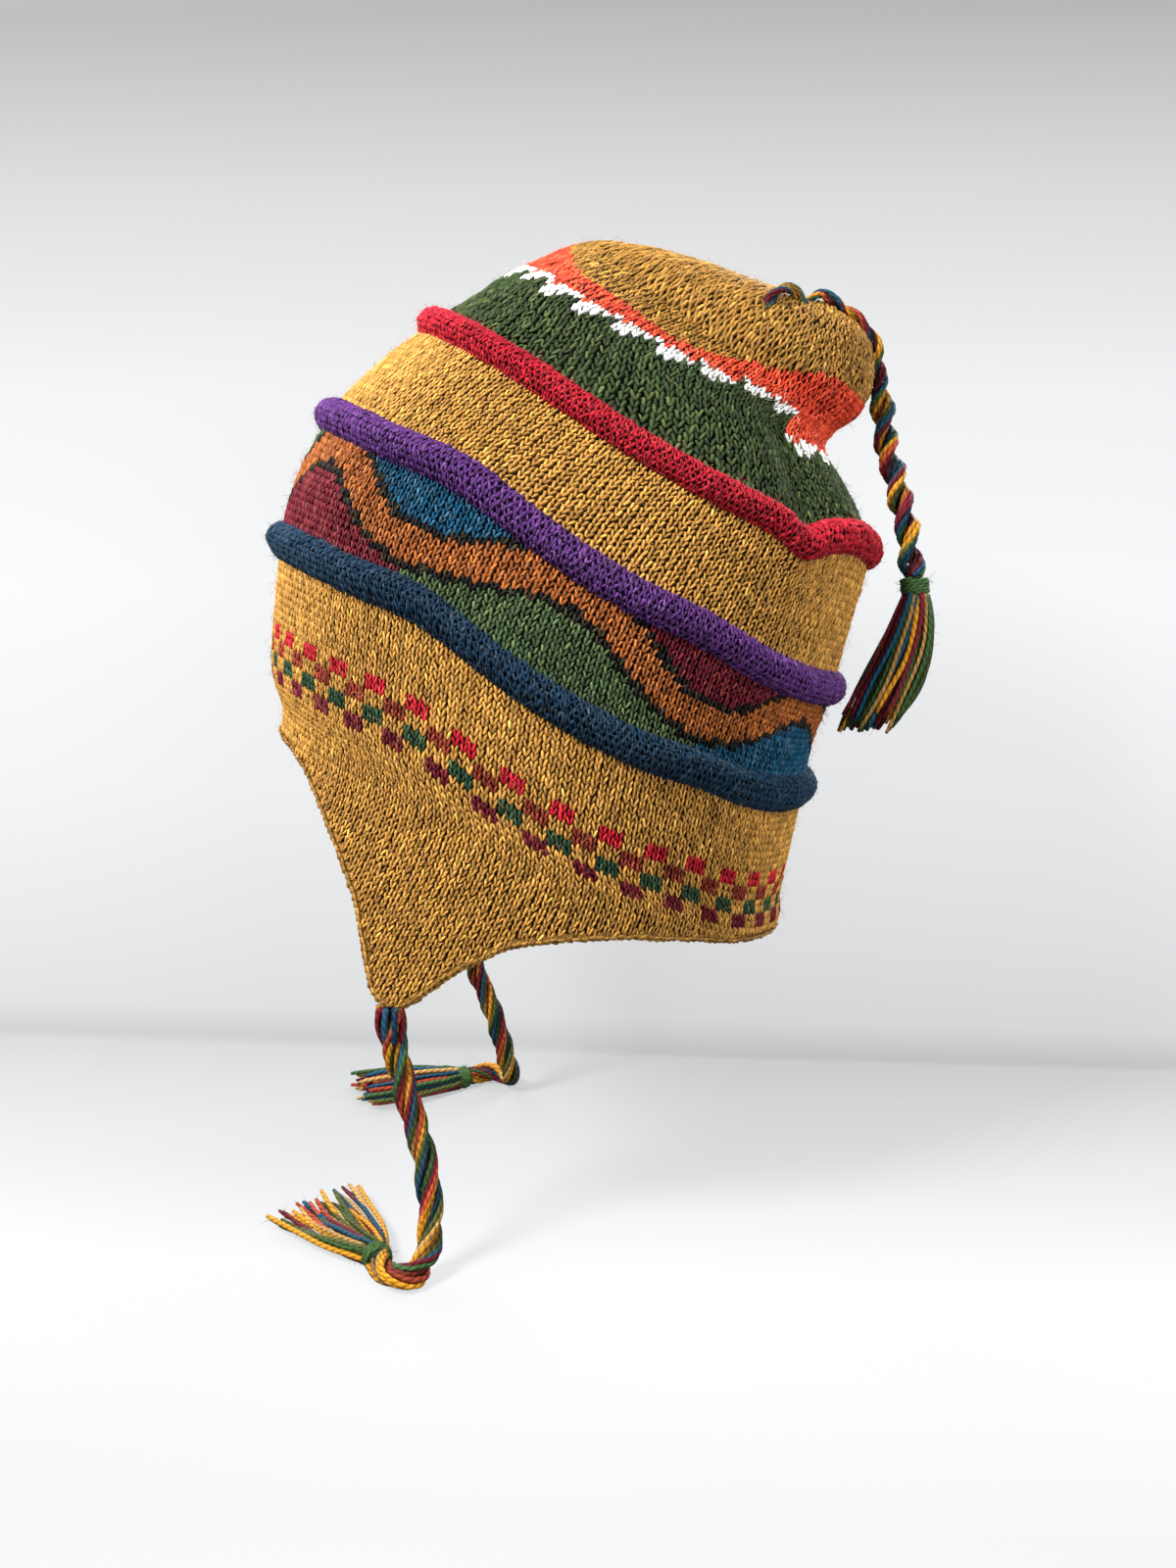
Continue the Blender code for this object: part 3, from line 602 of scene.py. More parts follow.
def purl_side():
    """The inside of the knit: rows of small round purl bumps, matt and a little darker, their colour painted
    lighter on the bumps and darker between them as painted light and shade.
    """
    material, tree, shader = new_material("purl_side_of_wool_knit", {
        "Roughness": 0.9, "Specular IOR Level": 0.15})
    way = add(tree, "UVMap", {"uv_map": "yarn_way"})
    turned = add(tree, "Mapping", {"Scale": (WAVE_CYCLE, WAVE_CYCLE, 1.0), "Vector": way.outputs["UV"]})
    wales, rows = (add(tree, "TexWave", {"bands_direction": axis, "Scale": 0.5, "Distortion": 0.3,
                                         "Vector": turned.outputs["Vector"]}) for axis in ("X", "Y"))
    bumps = add(tree, "Math", {"operation": "MULTIPLY", 0: wales.outputs["Fac"], 1: rows.outputs["Fac"]})
    # Painted light and shade: the colour follows the bumps' height
    spread = add(tree, "MapRange", {"To Min": 0.35, "To Max": 1.25, "Value": bumps.outputs["Value"]})
    tint_with_painted_shade(tree, shader, spread.outputs["Result"], bumps.outputs["Value"], 0.8, 0.0008)
    return material


# Worsted-spun wool and alpaca, knitted: soft, slightly lustrous strands with pale flecks
KNIT_WOOL = wool("soft_spun_wool_knit", 0.62, 0.0, 0.00045, 0.50, 1.50, 0.80, 0.30)
# The same yarn in the welts, brushed up into a short nap
WELT_WOOL = wool("brushed_wool_welt", 0.75, 0.03, 0.00050, 0.50, 1.50, 0.80, 0.35)
# Plied yarn of the cords and the tassels, its two plies plain to see
CORD_WOOL = wool("two_ply_wool_cord", 0.60, 0.0, 0.00060, 0.55, 1.45, 0.45, 0.70)
PURL_WOOL = purl_side()


# The charts: a colour for every stitch

def chart(names):
    """Colours for an array of yarn names."""
    kinds, kind = np.unique(names, return_inverse=True)
    return np.array([YARN[name] for name in kinds])[kind.reshape(names.shape)]


def plain(name):
    """A chart of one yarn."""
    return lambda level, angle, *place: np.broadcast_to(YARN[name], level.shape + (3,))


def lower_chart(row, angle):
    """Mustard, with four rows of checks three wales wide; row counts down from the navy welt."""
    names = np.full(row.shape, "mustard", "<U12")
    repeat = 360 / CHECK_PAIRS
    near = ((np.degrees(angle) - CHECK_START + repeat / 4) / repeat) % 1 < 0.5
    for start, colour, first in CHECK_ROWS:
        names[(row >= start) & (row < start + 2) & (near == first)] = colour
    return chart(names)


def wave_chart(share, angle):
    """A rust wave outlined in black, between a cell above and a cell below, six times round."""
    turn = (np.degrees(angle) - WAVE_CREST) / WAVE_TURN
    from_crest = np.abs(turn - np.round(turn)) * WAVE_TURN
    under, over = (np.interp(from_crest, WAVE_EDGES[:, 0], WAVE_EDGES[:, side]) for side in (1, 2))
    below = np.array(("moss", "teal", "burgundy"))[np.mod(np.round(turn).astype(int), 3)]
    above = np.array(("burgundy", "moss", "teal"))[np.mod(np.floor(turn).astype(int), 3)]
    names = np.full(share.shape, "rust", "<U12")
    names = np.where(share > over, "black", names)
    names = np.where(share > over + OUTLINE_SHARE, above, names)
    names = np.where(share < under, "black", names)
    names = np.where(share < under - OUTLINE_SHARE, below, names)
    return chart(names)


def level_of(line, angle):
    """The level that a line of (degrees, level) has at each angle."""
    return np.interp((np.degrees(angle) + 180) % 360 - 180, line[:, 0], line[:, 1])


def figure_rows(level, angle, wale):
    """Whole rows above the zigzag's lowest stitch. Each figure is placed by its own middle wale."""
    line = level_of(ZIGZAG_LINE, angle[0])
    rows, wales = level.shape
    lowest = np.array([np.interp(line[k], level[:, k], np.arange(rows)) for k in range(wales)])
    half = ZIGZAG_REPEAT // 2
    middle = (wale[0] - (wale[0] + half) % ZIGZAG_REPEAT + half) % wales
    return np.arange(rows)[:, None] - np.ceil(lowest[middle] - ZIGZAG_LIFT)


def top_chart(level, angle, wale, rows_above=None):
    """Green, the white zigzag, coral, then the mustard crown."""
    if rows_above is None:
        rows_above = (level - level_of(ZIGZAG_LINE, angle)) / ROW_LEVELS + ZIGZAG_LIFT
    place = ((wale + ZIGZAG_REPEAT // 2) % ZIGZAG_REPEAT).astype(int)
    names = np.full(level.shape, "green", "<U12")
    names[rows_above >= ZIGZAG_ROWS[place, 0]] = "white"
    names[rows_above >= ZIGZAG_ROWS[place, 1]] = "coral"
    names[level > level_of(CORAL_TOP, angle)] = "old gold"
    return chart(names)


# The knitted bands

def knit_grid(low, high, wales, rows):
    """Middles of the stitches of a band: levels, angles, wale numbers, row numbers and row heights."""
    angle = (np.arange(wales) + 0.5) * TURN / wales
    levels, climbed = climb(low, high, angle)
    tall = climbed[-1]
    share = (np.arange(rows) + 0.5) / rows
    level = levels_at(share[:, None] * tall, levels, climbed)
    return [level] + [np.broadcast_to(values, level.shape)
                      for values in (angle, np.arange(wales), np.arange(rows)[:, None], tall / rows)]


def knit(level, angle, wales, row_height, colours, style=PLAIN_STITCH, upright=0.0):
    """The legs of the stitches at these places, and the loose fibres over them.

    Slack fabric has its stitches more upright than its rows, by the share upright.
    """
    level, angle, row_height = level.ravel(), angle.ravel(), row_height.ravel()
    per_level, per_angle, out = fabric_slopes(level, angle)
    wide = np.linalg.norm(per_angle, axis=-1, keepdims=True) * TURN / wales
    plumb = (0, 0, 1) - out * out[:, 2:]
    up = unit(unit(per_level) + plumb * upright)
    across = np.cross(up, out) * wide
    middle, colours = fabric(level, angle), colours.reshape(-1, 3)
    share, length, stand = KNIT_FUZZ
    return [stitch_legs(middle, across, up * row_height[:, None], out, colours, LEG, style),
            stray_fibres(middle, out, colours, int(len(middle) * share), length, stand)]


def under_stitches(colours):
    """The shade between the stitches: deep, but light behind white yarn."""
    return colours * np.where(colours.min(-1, keepdims=True) > WHITE_FROM, 0.38, 0.18)


def backing(low, high, columns, rows, colour_of, wales):
    """The closed shell under the stitches, from STITCH_BED below them to the inside of the hat."""
    angle = np.arange(columns) * TURN / columns
    level = low(angle) + (high(angle) - low(angle)) * np.linspace(0, 1, rows + 1)[:, None]
    angle = np.broadcast_to(angle, level.shape)
    out, skin, yarn = fabric_slopes(level, angle)[2], fabric(level, angle), colour_of(level, angle)
    climbed = distances(skin) / ROW_HEIGHT
    rings = np.concatenate((skin - out * STITCH_BED, (skin - out * KNIT_WALL)[::-1]))
    colours = np.concatenate((under_stitches(yarn), (yarn * INSIDE_SHADE)[::-1]))
    ways = np.stack((np.concatenate((angle, angle)) * wales / TURN,
                     np.concatenate((climbed, climbed[::-1]))), -1)
    return closed_grid(rings, colours, ways)


def flat_level(level):
    return lambda angle: np.full_like(angle, level)


def build_lower_band():
    """The lower mustard band and both flaps, knitted down from the navy welt, in two halves."""
    wales, rows = 222, 50
    angle = (np.arange(wales) + 0.5) * TURN / wales
    down = (np.arange(rows)[:, None] + 0.5) * ROW_HEIGHT * np.ones(wales)
    level = levels_at(down, *climb(3.0, -0.1, angle))
    angle = np.broadcast_to(angle, level.shape)
    kept = (level > lower_edge(angle) + 0.02) & (level > -0.02)
    colours = lower_chart(np.broadcast_to(np.arange(rows)[:, None], level.shape), angle)
    height = np.full(level.shape, ROW_HEIGHT)
    for side in (1, -1):
        chosen = kept & (np.cos(angle) * side > 0)
        parts = knit(level[chosen], angle[chosen], wales, height[chosen], colours[chosen])
        if side > 0:
            parts.append(backing(lower_edge, flat_level(2.99), 144, 14, plain("mustard"), wales))
            hat_piece("lower_band_left_knit", parts, (KNIT_WOOL, PURL_WOOL), "earflap_band")
        else:
            hat_piece("lower_band_right_knit", parts, (KNIT_WOOL,))


def build_band(node, low, high, wales, rows, shell, stitch_chart, shell_chart, style=PLAIN_STITCH):
    """A band of stitches between two levels, and its shell of so many columns and rows."""
    level, angle, wale, row, height = knit_grid(low, high, wales, rows)
    parts = knit(level, angle, wales, height, stitch_chart(level, angle, wale, row), style)
    parts.append(backing(flat_level(low + 0.01), flat_level(high - 0.01), *shell, shell_chart, wales))
    hat_piece(node + "_knit", parts, (KNIT_WOOL, PURL_WOOL), node)


def build_crown():
    """The mustard crown: fewer wales in each part towards its end, and its closed shell."""
    parts = []
    for low, high, wales, rows in CROWN_PARTS:
        level, angle, wale, row, height = knit_grid(low, high, wales, rows)
        parts += knit(level, angle, wales, height, top_chart(level, angle, wale), CROWN_STITCH, 1.0)
    parts += crown_tip()
    parts.append(crown_backing())
    hat_piece("crown_knit", parts, (KNIT_WOOL, PURL_WOOL), "crown_top")


def crown_tip():
    """The last stitches, drawn together over the crown's end."""
    around = np.arange(48) * TURN / 48
    ring = fabric(17.0, around)
    centre = ring.mean(0)
    face = unit(np.cross(ring - centre, np.roll(ring, -1, 0) - centre).sum(0))
    if face @ fabric_slopes(16.9, around)[2].sum(0) < 0:
        face = -face
    parts = []
    for share, count in TIP_RINGS:
        angle = (np.arange(count) + share) * TURN / count
        middle = centre + (fabric(17.0, angle) - centre) * share
        up = unit(centre - middle) * ROW_HEIGHT
        across = unit(np.cross(up, face)) * TIP_WALE
        out, colours = np.broadcast_to(face, middle.shape), np.broadcast_to(YARN["old gold"], middle.shape)
        parts.append(stitch_legs(middle, across, up, out, colours, LEG, CROWN_STITCH))
    return parts


def crown_backing():
    """The closed shell of the crown: rings inside and out that each end on one point."""
    columns, rows = 96, 12
    level = np.linspace(13.01, 17.0, rows + 1)[:, None] + np.zeros(columns)
    angle = np.broadcast_to(np.arange(columns) * TURN / columns, level.shape)
    out = fabric_slopes(np.minimum(level, 16.9), angle)[2]
    skin = fabric(level, angle)
    outer, inner = skin - out * STITCH_BED, skin - out * KNIT_WALL
    tips = np.stack((outer[-1].mean(0), inner[-1].mean(0)))
    points, faces = capped_grid(np.concatenate((outer[::-1], inner)), tips)
    yarn = top_chart(level, angle, np.zeros(level.shape))
    colours = np.concatenate((under_stitches(yarn)[::-1], yarn * INSIDE_SHADE)).reshape(-1, 3)
    colours = np.concatenate((colours, np.broadcast_to(YARN["old gold"] * 0.5, (2, 3))))
    ways = np.stack((np.concatenate((angle, angle)), np.concatenate((level[::-1], level))), -1) * (14, 5)
    return points, faces[:, ::-1], colours, np.concatenate((ways.reshape(-1, 2), np.zeros((2, 2))))


def build_edge():
    """The finished edge round the hem and the flaps: chained stitches over a narrow roll."""
    angle = np.linspace(-math.pi, math.pi, 2881)
    gone = distances(fabric(lower_edge(angle), angle))
    count = round(gone[-1] / EDGE_SPACING)
    even = np.interp(np.linspace(0, gone[-1], count, endpoint=False), gone, angle)
    middle = fabric(lower_edge(even), even)
    out = fabric_slopes(lower_edge(even), even)[2]
    along = unit(np.roll(middle, -1, 0) - np.roll(middle, 1, 0))
    inward = unit(np.cross(out, along))
    middle = middle - out * (KNIT_WALL / 2 - 0.0004) + inward * 0.0006
    turn = np.arange(8) * TURN / 8
    rings = middle + EDGE_RADIUS * direction(turn[:, None], out, inward)
    yarn = np.broadcast_to(YARN["mustard"], rings.shape)
    ways = np.stack(np.broadcast_arrays(np.arange(count) / 4.0, turn[:, None]), -1)
    parts = []
    for lean_out in (0.90, -0.35):
        face = unit(out * lean_out - inward)
        centre = middle + face * (EDGE_RADIUS + 0.0001)
        across = np.cross(along, face) * EDGE_WALE
        parts.append(stitch_legs(centre, across, along * EDGE_SPACING, face, yarn[0], LEG, EDGE_STITCH))
    parts.append(stray_fibres(middle, unit(out - inward), yarn[0], *EDGE_FUZZ))
    # The roll under the edge is darkened as painted shade under its stitches
    parts.append(closed_grid(rings, yarn * 0.70, ways))
    hat_piece("hem_and_flap_edge", parts, (KNIT_WOOL,))


def build_ridge(name, node, low, wales, colour):
    """A welt: a half-round roll of the fabric, thick with short stitches brushed every way."""
    rows, columns = 8, 120
    middle, half = low + 0.5, 0.5

    def skin(turn, angle, stand, sink=0.0):
        level = middle - half * np.cos(turn)
        out = fabric_slopes(level, angle)[2]
        return fabric(level, angle) + out * (stand * np.sin(turn) - sink)[..., None]

    def stitched(turn, angle):
        return skin(turn, angle, RIDGE_STAND - 0.0006)

    turns, angles = np.meshgrid((np.arange(rows) + 0.5) / rows * math.pi,
                                np.arange(wales) * TURN / wales, indexing="ij")
    staggered = (np.arange(rows) % 2)[:, None] * math.pi / wales
    angles = angles + staggered + chance.normal(0, 0.2 / wales, angles.shape)
    turns = turns + chance.normal(0, 0.035, turns.shape)
    across = (stitched(turns, angles + STEP) - stitched(turns, angles - STEP)) / (2 * STEP) * TURN / wales
    up = (stitched(turns + STEP, angles) - stitched(turns - STEP, angles)) / (2 * STEP) * math.pi / rows
    out = unit(np.cross(across, up))
    centre, across, up, out = (part.reshape(-1, 3) for part in (stitched(turns, angles), across, up, out))
    colours = np.broadcast_to(YARN[colour], centre.shape)
    parts = [stitch_legs(centre, across, up, out, colours, SHORT_LEG, WELT_STITCH),
             stray_fibres(centre, out, colours, *WELT_FUZZ)]
    # The closed roll under the stitches, darkened to half its yarn's colour as painted shade between them
    turns, angles = np.meshgrid(np.linspace(0, math.pi, 9),
                                np.arange(columns) * TURN / columns, indexing="ij")
    inside = skin(turns, angles, 0.0, KNIT_WALL)[[-1, 0]]
    rings = np.concatenate((skin(turns, angles, RIDGE_STAND - 0.0012, 0.0004), inside))
    wale = np.arange(columns) * wales / columns
    ways = np.stack(np.broadcast_arrays(wale, np.arange(len(rings))[:, None]), -1)
    parts.append(closed_grid(rings, np.broadcast_to(YARN[colour] * 0.50, rings.shape), ways))
    hat_piece(name, parts, (WELT_WOOL, PURL_WOOL), node)


# Cords and tassels

def smooth_route(points):
    """Points at even distances along the smooth curve through a route, and its length."""
    points = np.asarray(points, float)
    fine = spline(points, np.linspace(0, len(points) - 1, (len(points) - 1) * 8 + 1))
    gone = distances(fine)
    wanted = np.linspace(0, gone[-1], max(2, round(gone[-1] / ROUTE_SPACING)) + 1)
    return np.stack([np.interp(wanted, gone, fine[:, k]) for k in range(3)], 1), gone[-1]


def travelling_frame(route):
    """Two directions square to a route that turn with it and never spin round it."""
    along = unit(np.gradient(route, axis=0))
    side = unit(np.cross(along[0], (0.3, 0.2, 0.9)))
    sides = []
    for way in along:
        side = unit(side - way * side.dot(way))
        sides.append(side)
    sides = np.array(sides)
    return sides, np.cross(along, sides)


def tube(path, radius, colour, start=0.0, shades=1.0, sides=6):
    """A closed round strand along a path: points, faces, colours and the way along it."""
    radius, shades = (np.broadcast_to(values, len(path))[:, None, None] for values in (radius, shades))
    first, second = travelling_frame(path)
    turn = np.arange(sides) * TURN / sides
    rings = path[:, None] + radius * direction(turn, first[:, None], second[:, None])
    points, faces = capped_grid(rings, path[[0, -1]])
    gone = distances(path) / PLY_PITCH
    ways = np.stack(np.broadcast_arrays(np.arange(sides)[None] / sides, gone[:, None] + start), -1)
    ways = np.concatenate((ways.reshape(-1, 2), [[0.5, start], [0.5, gone[-1] + start]]))
    tints = np.broadcast_to(colour * shades, rings.shape).reshape(-1, 3)
    return points, faces, np.clip(np.concatenate((tints, [colour * 0.6] * 2)), 0, 1), ways


def all_points(strands):
    """The points of all strands, and the colour of each."""
    return (np.concatenate([path for path, _ in strands]),
            np.concatenate([np.broadcast_to(colour, path.shape) for path, colour in strands]))


def root_loops(route, first, second, diameter):
    """Strands looped over the top of a tie, where it is drawn through the flap's tip."""
    loops, steps = [], 10
    out = diameter / 2 * (0.62 + 0.42 * np.sin(np.linspace(0.5, math.pi - 0.15, steps)))
    for number, name in enumerate(LOOP_YARNS):
        turn = number * TURN / len(LOOP_YARNS) + 0.45 * np.linspace(0, 1, steps)
        path = route[:steps] + out[:, None] * direction(turn, first[:steps], second[:steps])
        loops.append(tube(path, YARN_RADIUS * 1.15, YARN[name] * 1.2, chance.random()))
    return loops


def twisted_cord(name, node, points, diameter, plies, lay, palette, threaded):
    """A rope of plies, each a bundle of coloured strands that wander a little.

    A threaded cord starts slim. Any other has loops over its start.
    """
    route, length = smooth_route(points)
    gone = np.linspace(0, length, len(route))
    full = np.ones(len(route))
    if threaded:
        full = np.clip((gone - SLIM_LENGTH) / FILL_LENGTH, 0, 1)
        full = SLIM_SHARE + (1 - SLIM_SHARE) * full * full * (3 - 2 * full)
    first, second = travelling_frame(route)
    parts, strands = [], []
    ply_out = diameter * PLY_OUT[plies]
    strand_out = diameter / 2 - ply_out - YARN_RADIUS * 0.75
    for ply in range(plies):
        turn = TURN * gone / lay + ply * TURN / plies + 0.22 * np.sin(gone / 0.009 + ply * 2.1)
        spoke = direction(turn, first, second)
        middle = route + (ply_out * full)[:, None] * spoke
        for strand in range(PLY_STRANDS):
            start, pace = chance.uniform(0, 6.3), chance.uniform(0.006, 0.011)
            around = turn * 1.35 + strand * TURN / PLY_STRANDS + 0.35 * np.sin(gone / pace + start)
            spread = strand_out * full * (1 + 0.14 * np.sin(gone / pace * 1.3 + start * 2))
            way = direction(around, first, second)
            path = middle + spread[:, None] * way
            uneven = 1 + 0.07 * np.sin(gone / 0.004 + start)
            thick = YARN_RADIUS * np.sqrt(full) * chance.uniform(0.92, 1.12) * uneven
            colour = YARN[palette[(ply * PLY_STRANDS + strand) % len(palette)]] * chance.uniform(0.85, 1.15)
            # Painted shade: strands that lie deep in the rope are darkened
            depth = np.clip(0.5 + 0.5 * (way * spoke).sum(1) + 0.15, 0.25, 1.0)
            parts.append(tube(path, thick, colour, chance.random(), depth))
            strands.append((path, colour))
    if not threaded:
        parts += root_loops(route, first, second, diameter)
    surface, tints = all_points(strands)
    away = unit(surface - np.tile(route, (len(strands), 1)))
    parts.append(stray_fibres(surface, away, tints, *CORD_FUZZ))
    return hat_piece(name, parts, (CORD_WOOL,), node), route


def binding(name, node, start, end, radius):
    """Green yarn wound tight round the cord's end, over a core darkened as painted shade between the turns.
    """
    axis = unit(end - start)
    side = unit(np.cross(axis, (0.2, 0.9, 0.3)))
    turns, steps = 5, 22
    place = np.linspace(0, 1, turns * steps + 1)
    bulge = radius + 0.0003 - 0.0006 * np.abs(place - 0.5) + 0.00015 * np.sin(place * 41)
    path = start + axis * (np.linalg.norm(end - start) * (0.08 + 0.84 * place))[:, None] \
        + bulge[:, None] * direction(place * turns * TURN, side, np.cross(axis, side))
    core_path = np.linspace(0, 1, 7)[:, None] * (end - start) + start
    core_radius = np.array((0.7, 0.95, 1, 1, 1, 0.95, 0.7)) * radius
    away = unit(path - (start + axis * ((path - start) @ axis)[:, None]))
    parts = [tube(path, 0.00074, YARN["binding"]),
             tube(core_path, core_radius, YARN["binding"] * 0.4, sides=16),
             stray_fibres(path, away, np.broadcast_to(YARN["binding"], path.shape), *WRAP_FUZZ)]
    return hat_piece(name, parts, (CORD_WOOL,), node)


def tassel(name, node, top, shape, root_radius, palette, on_floor):
    """Strands of plied yarn from the binding to their cut ends.

    Its shape is the middle of its ends, its two half widths there, how far it bellies and its strands.
    """
    tips, across, out, belly = (np.array(part) for part in shape[:4])
    count = shape[4]
    axis = unit(tips - top)
    side = unit(across - axis * across.dot(axis))
    other = np.cross(axis, side)
    parts, strands = [], []
    place = np.linspace(0, 1, 17)[:, None]
    for number in range(count):
        ring, turn = math.sqrt((number + 0.5) / count), number * GOLDEN_TURN
        a, b = ring * math.cos(turn), ring * math.sin(turn)
        root = (side * a + other * b) * root_radius
        reach = chance.uniform(0.84, 1.03)
        start = top - axis * 0.0015 + root
        tip = top + (tips - top) * reach + across * a + out * b
        bulge = top + (tips - top) * 0.40 + root * 1.6 + (across * a + out * b) * 0.5 + belly
        path = start * (1 - place) ** 2 + bulge * 2 * place * (1 - place) + tip * place ** 2
        wave = np.sin(place * chance.uniform(5, 9) + chance.uniform(0, 6)) * 0.0007 * place
        path = path + side * wave + other * np.roll(wave, 3, 0)
        radius = np.full(len(path), YARN_RADIUS * chance.uniform(0.85, 1.1))
        radius[-1] *= 0.75
        if on_floor:
            path[:, 2] = np.maximum(path[:, 2], FLOOR_Z + YARN_RADIUS)
        colour = YARN[palette[int(chance.integers(len(palette)))]] * chance.uniform(0.8, 1.2)
        parts.append(tube(path, radius, colour, chance.random()))
        strands.append((path, colour))
    surface, tints = all_points(strands)
    parts.append(stray_fibres(surface, unit(chance.normal(size=surface.shape)), tints, *TUFT_FUZZ))
    return hat_piece(name, parts, (CORD_WOOL,), node)


def build_cord(prefix, nodes, shown_points, diameter, plies, lay, palettes, tuft_shape, hangs):
    """A cord, its binding and its tassel. It has the length of its route and lies along the shown points."""
    cord, route = twisted_cord(prefix + "_cord", nodes[0], shown_points, diameter, plies, lay, palettes[0],
                               hangs)
    along = unit(route[-1] - route[-2])
    start = route[-1] + along * GAP
    end = start + along * BINDING_LENGTH
    wrap = binding(prefix + "_wrap", nodes[1], start, end, diameter / 2 * 0.92)
    tuft = tassel(prefix + "_tuft", nodes[2], end + along * GAP, tuft_shape, diameter / 2 * 0.90, palettes[1],
                  not hangs)


build_cord("top", ("top_braid", "top_tassel_binding", "top_tassel"), THREADED_ROUTE,
           BRAID_DIAMETER, 2, 0.022, (TOP_ROPE, TOP_TUFT),
           ((0.008, 0.1205, 0.0375), (0, 0.0110, 0), (0.0090, 0, 0), (0, 0.0055, 0), 72), True)
for tie, tie_route, tie_tips, tie_across in (
    ("left_tie", LEFT_TIE_ROUTE, (0.0420, -0.0740, -0.1295), (-0.0150, 0.0130, 0)),
    ("right_tie", RIGHT_TIE_ROUTE, (-0.0700, -0.0840, -0.1295), (0.0170, 0.0070, 0)),
):
    build_cord(tie, (tie + "_braid", tie + "_binding", tie.replace("tie", "tassel")), tie_route,
               TIE_DIAMETER, 3, 0.042, (TIE_ROPE, TIE_TUFT),
               (tie_tips, tie_across, (0, 0, 0.0040), (0, 0, 0), 36), False)

build_lower_band()
build_edge()
build_ridge("navy_welt", "navy_ridge", 3.0, 300, "navy")
build_band("wave_band", 4.0, 6.0, 222, WAVE_ROWS, (144, 8),
           lambda level, angle, wale, row: wave_chart((row + 0.5) / WAVE_ROWS, angle),
           lambda level, angle: wave_chart((level - 4) / 2, angle), WAVE_STITCH)
build_ridge("purple_welt", "purple_ridge", 6.0, 288, "purple")
build_band("middle_band", 7.0, 9.0, 192, 15, (96, 8), plain("mustard"), plain("mustard"))
build_ridge("red_welt", "red_ridge", 9.0, 244, "red")
build_band("zigzag_band", 10.0, 13.0, ZIGZAG_WALES, 22, (130, 22),
           lambda level, angle, wale, row: top_chart(level, angle, wale, figure_rows(level, angle, wale)),
           lambda level, angle: top_chart(level, angle, np.floor(angle / TURN * ZIGZAG_WALES)),
           FLECKED_STITCH)
build_crown()


# The light box

def glowing(name, values):
    """Matt paper that glows by itself. The view goes through it where it is seen from its back."""
    material, tree, shader = new_material(name, {"Base Color": (0.12, 0.12, 0.12, 1), **values})
    behind = add(tree, "NewGeometry")
    clear = add(tree, "BsdfTransparent")
    mix = add(tree, "MixShader", {0: behind.outputs["Backfacing"], 1: shader.outputs["BSDF"],
                                  2: clear.outputs["BSDF"]})
    tree.links.new(mix.outputs["Shader"], tree.nodes["Material Output"].inputs["Surface"])
    return material, tree, shader


def pale(name, strength):
    """Matt white that glows evenly."""
    return glowing(name, {"Emission Color": (*GLOW_TINT, 1), "Emission Strength": strength})[0]


def sweep_paper():
    """Pale paper whose glow changes up the wall and along the floor, by one distance that runs over both."""
    material, tree, shader = glowing("pale_paper_sweep", {
        "Roughness": 0.9, "Specular IOR Level": 0.0, "Emission Strength": 1.0})
    place = add(tree, "TexCoord")
    parts = add(tree, "SeparateXYZ", {"Vector": place.outputs["Object"]})
    run = add(tree, "Math", {"operation": "SUBTRACT", 0: parts.outputs["Z"], 1: parts.outputs["X"]})
    first, last = PAPER_GLOW[0][0], PAPER_GLOW[-1][0]
    share = add(tree, "MapRange", {"From Min": first - WALL_X, "From Max": last - WALL_X,
                                   "Value": run.outputs["Value"]})
    glow = add(tree, "ValToRGB", {"Fac": share.outputs["Result"]})
    ramp = glow.color_ramp
    while len(ramp.elements) < len(PAPER_GLOW):
        ramp.elements.new(0.5)
    for stop, (distance, strength) in zip(ramp.elements, PAPER_GLOW):
        stop.position = (distance - first) / (last - first)
        stop.color = (*(strength * channel for channel in GLOW_TINT), 1)
    tree.links.new(glow.outputs["Color"], shader.inputs["Emission Color"])
    return material


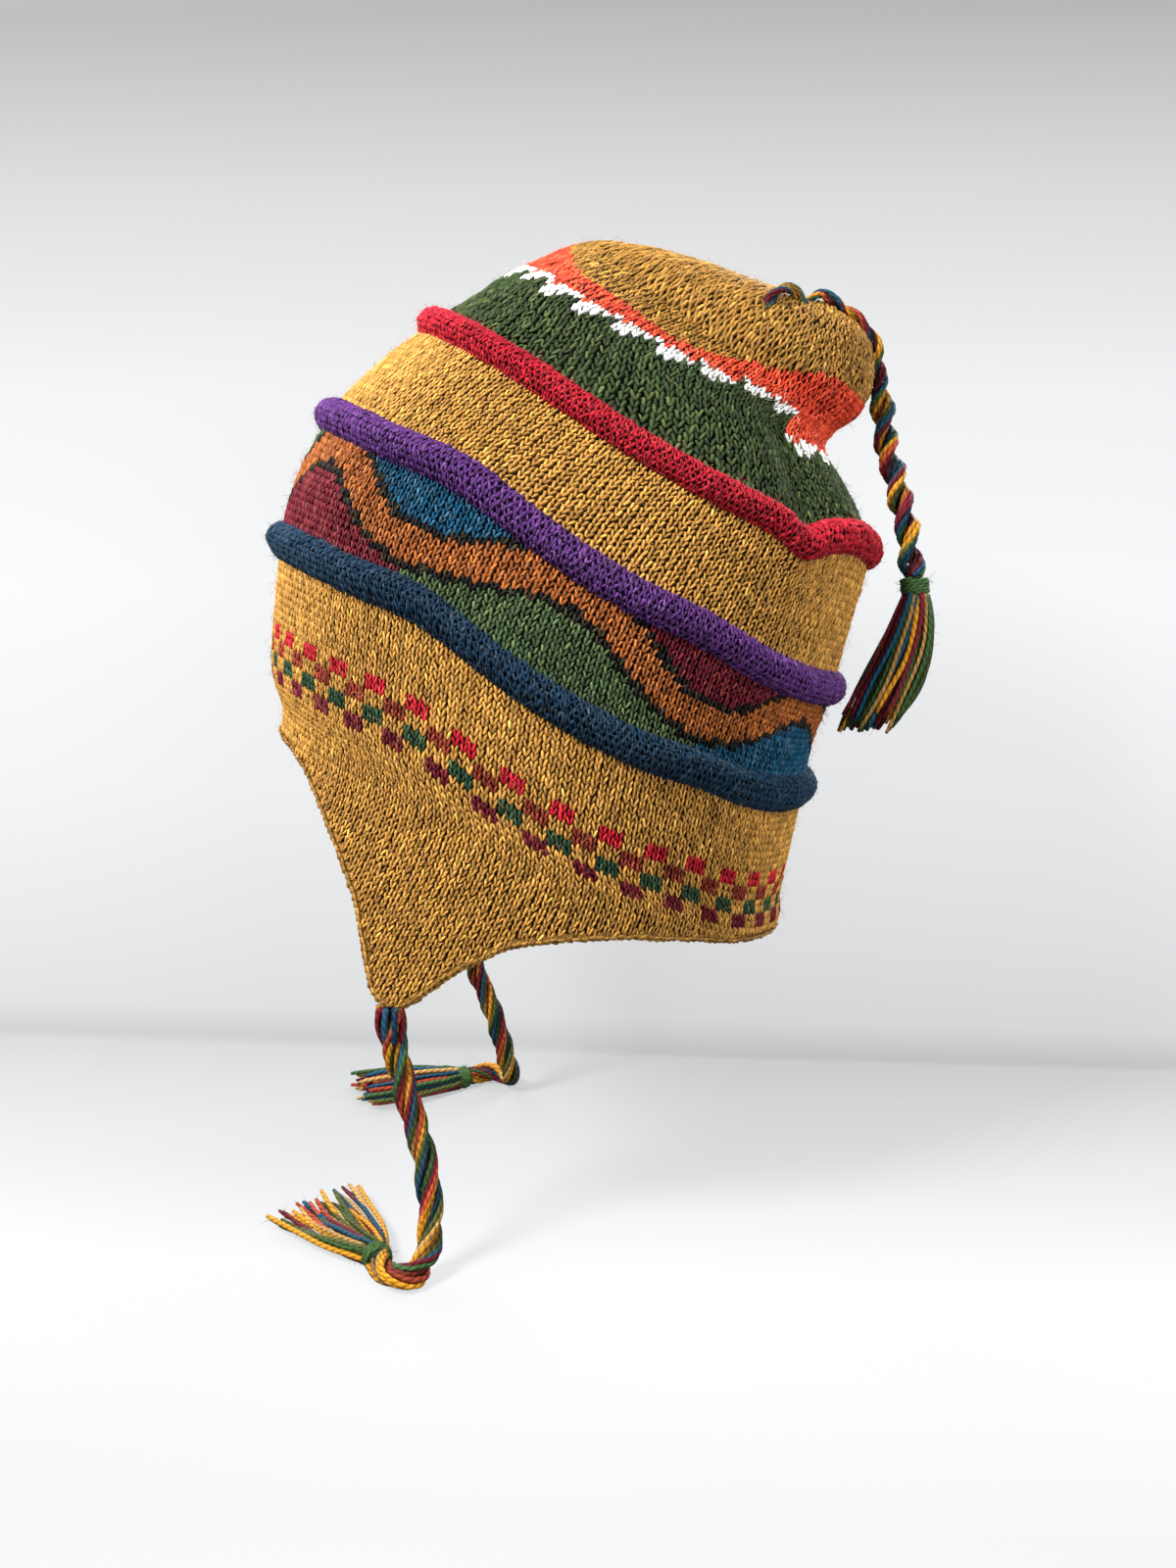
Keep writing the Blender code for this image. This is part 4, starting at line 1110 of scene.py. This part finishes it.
def build_stage():
    """A pale floor that sweeps up to a wall close behind, and a pale room that goes on behind the wall."""
    profile = [(3.0, FLOOR_Z)]
    for turn in np.linspace(0, math.pi / 2, 9):
        profile.append((WALL_X + BEND_RADIUS - BEND_RADIUS * math.sin(turn),
                        FLOOR_Z + BEND_RADIUS - BEND_RADIUS * math.cos(turn)))
    profile.append((WALL_X, 2.2))
    far = STAGE_REACH
    points = [(x, y, z) for x, z in profile for y in (-far, far)]
    faces = [(2 * k, 2 * k + 1, 2 * k + 3, 2 * k + 2) for k in range(len(profile) - 1)]
    floor_points = [(x, y, FLOOR_Z) for x, y in ((WALL_X, -far), (WALL_X, far), (-far, far), (-far, -far))]
    corners = ((-far, -far), (far, -far), (far, far), (-far, far))
    room_points = [(x, y, z) for z in (-far, far) for x, y in corners]
    room_faces = [(0, 1, 2, 3), (7, 6, 5, 4), (1, 0, 4, 5), (2, 1, 5, 6), (3, 2, 6, 7), (0, 3, 7, 4)]
    for stage in (
        new_piece("paper_sweep", points, faces, materials=(sweep_paper(),)),
        new_piece("rear_floor", floor_points, [(0, 1, 2, 3)], materials=(pale("pale_floor_behind", 0.46),)),
        new_piece("pale_room", room_points, room_faces, materials=(pale("pale_room_walls", 0.60),)),
    ):
        stage.visible_diffuse = stage.visible_glossy = stage.visible_shadow = False


def build_lights():
    """A small key light from the upper left, three wide softer ones, and a faint light from all round."""
    world = bpy.data.worlds.new("studio")
    bpy.context.scene.world = world
    world.use_nodes = True
    background = world.node_tree.nodes["Background"]
    background.inputs["Color"].default_value = (0.93, 0.96, 1.0, 1)
    background.inputs["Strength"].default_value = 0.30
    for name, place, size, power in LIGHTS:
        light = bpy.data.lights.new(name, "AREA")
        light.size = size
        light.energy = power
        lamp = bpy.data.objects.new(name, light)
        lamp.location = place
        lamp.rotation_mode = "QUATERNION"
        lamp.rotation_quaternion = (Vector(LIGHT_AIM) - Vector(place)).to_track_quat("-Z", "Y")
        bpy.context.scene.collection.objects.link(lamp)
    bpy.context.scene.view_settings.view_transform = "Standard"


build_stage()
build_lights()
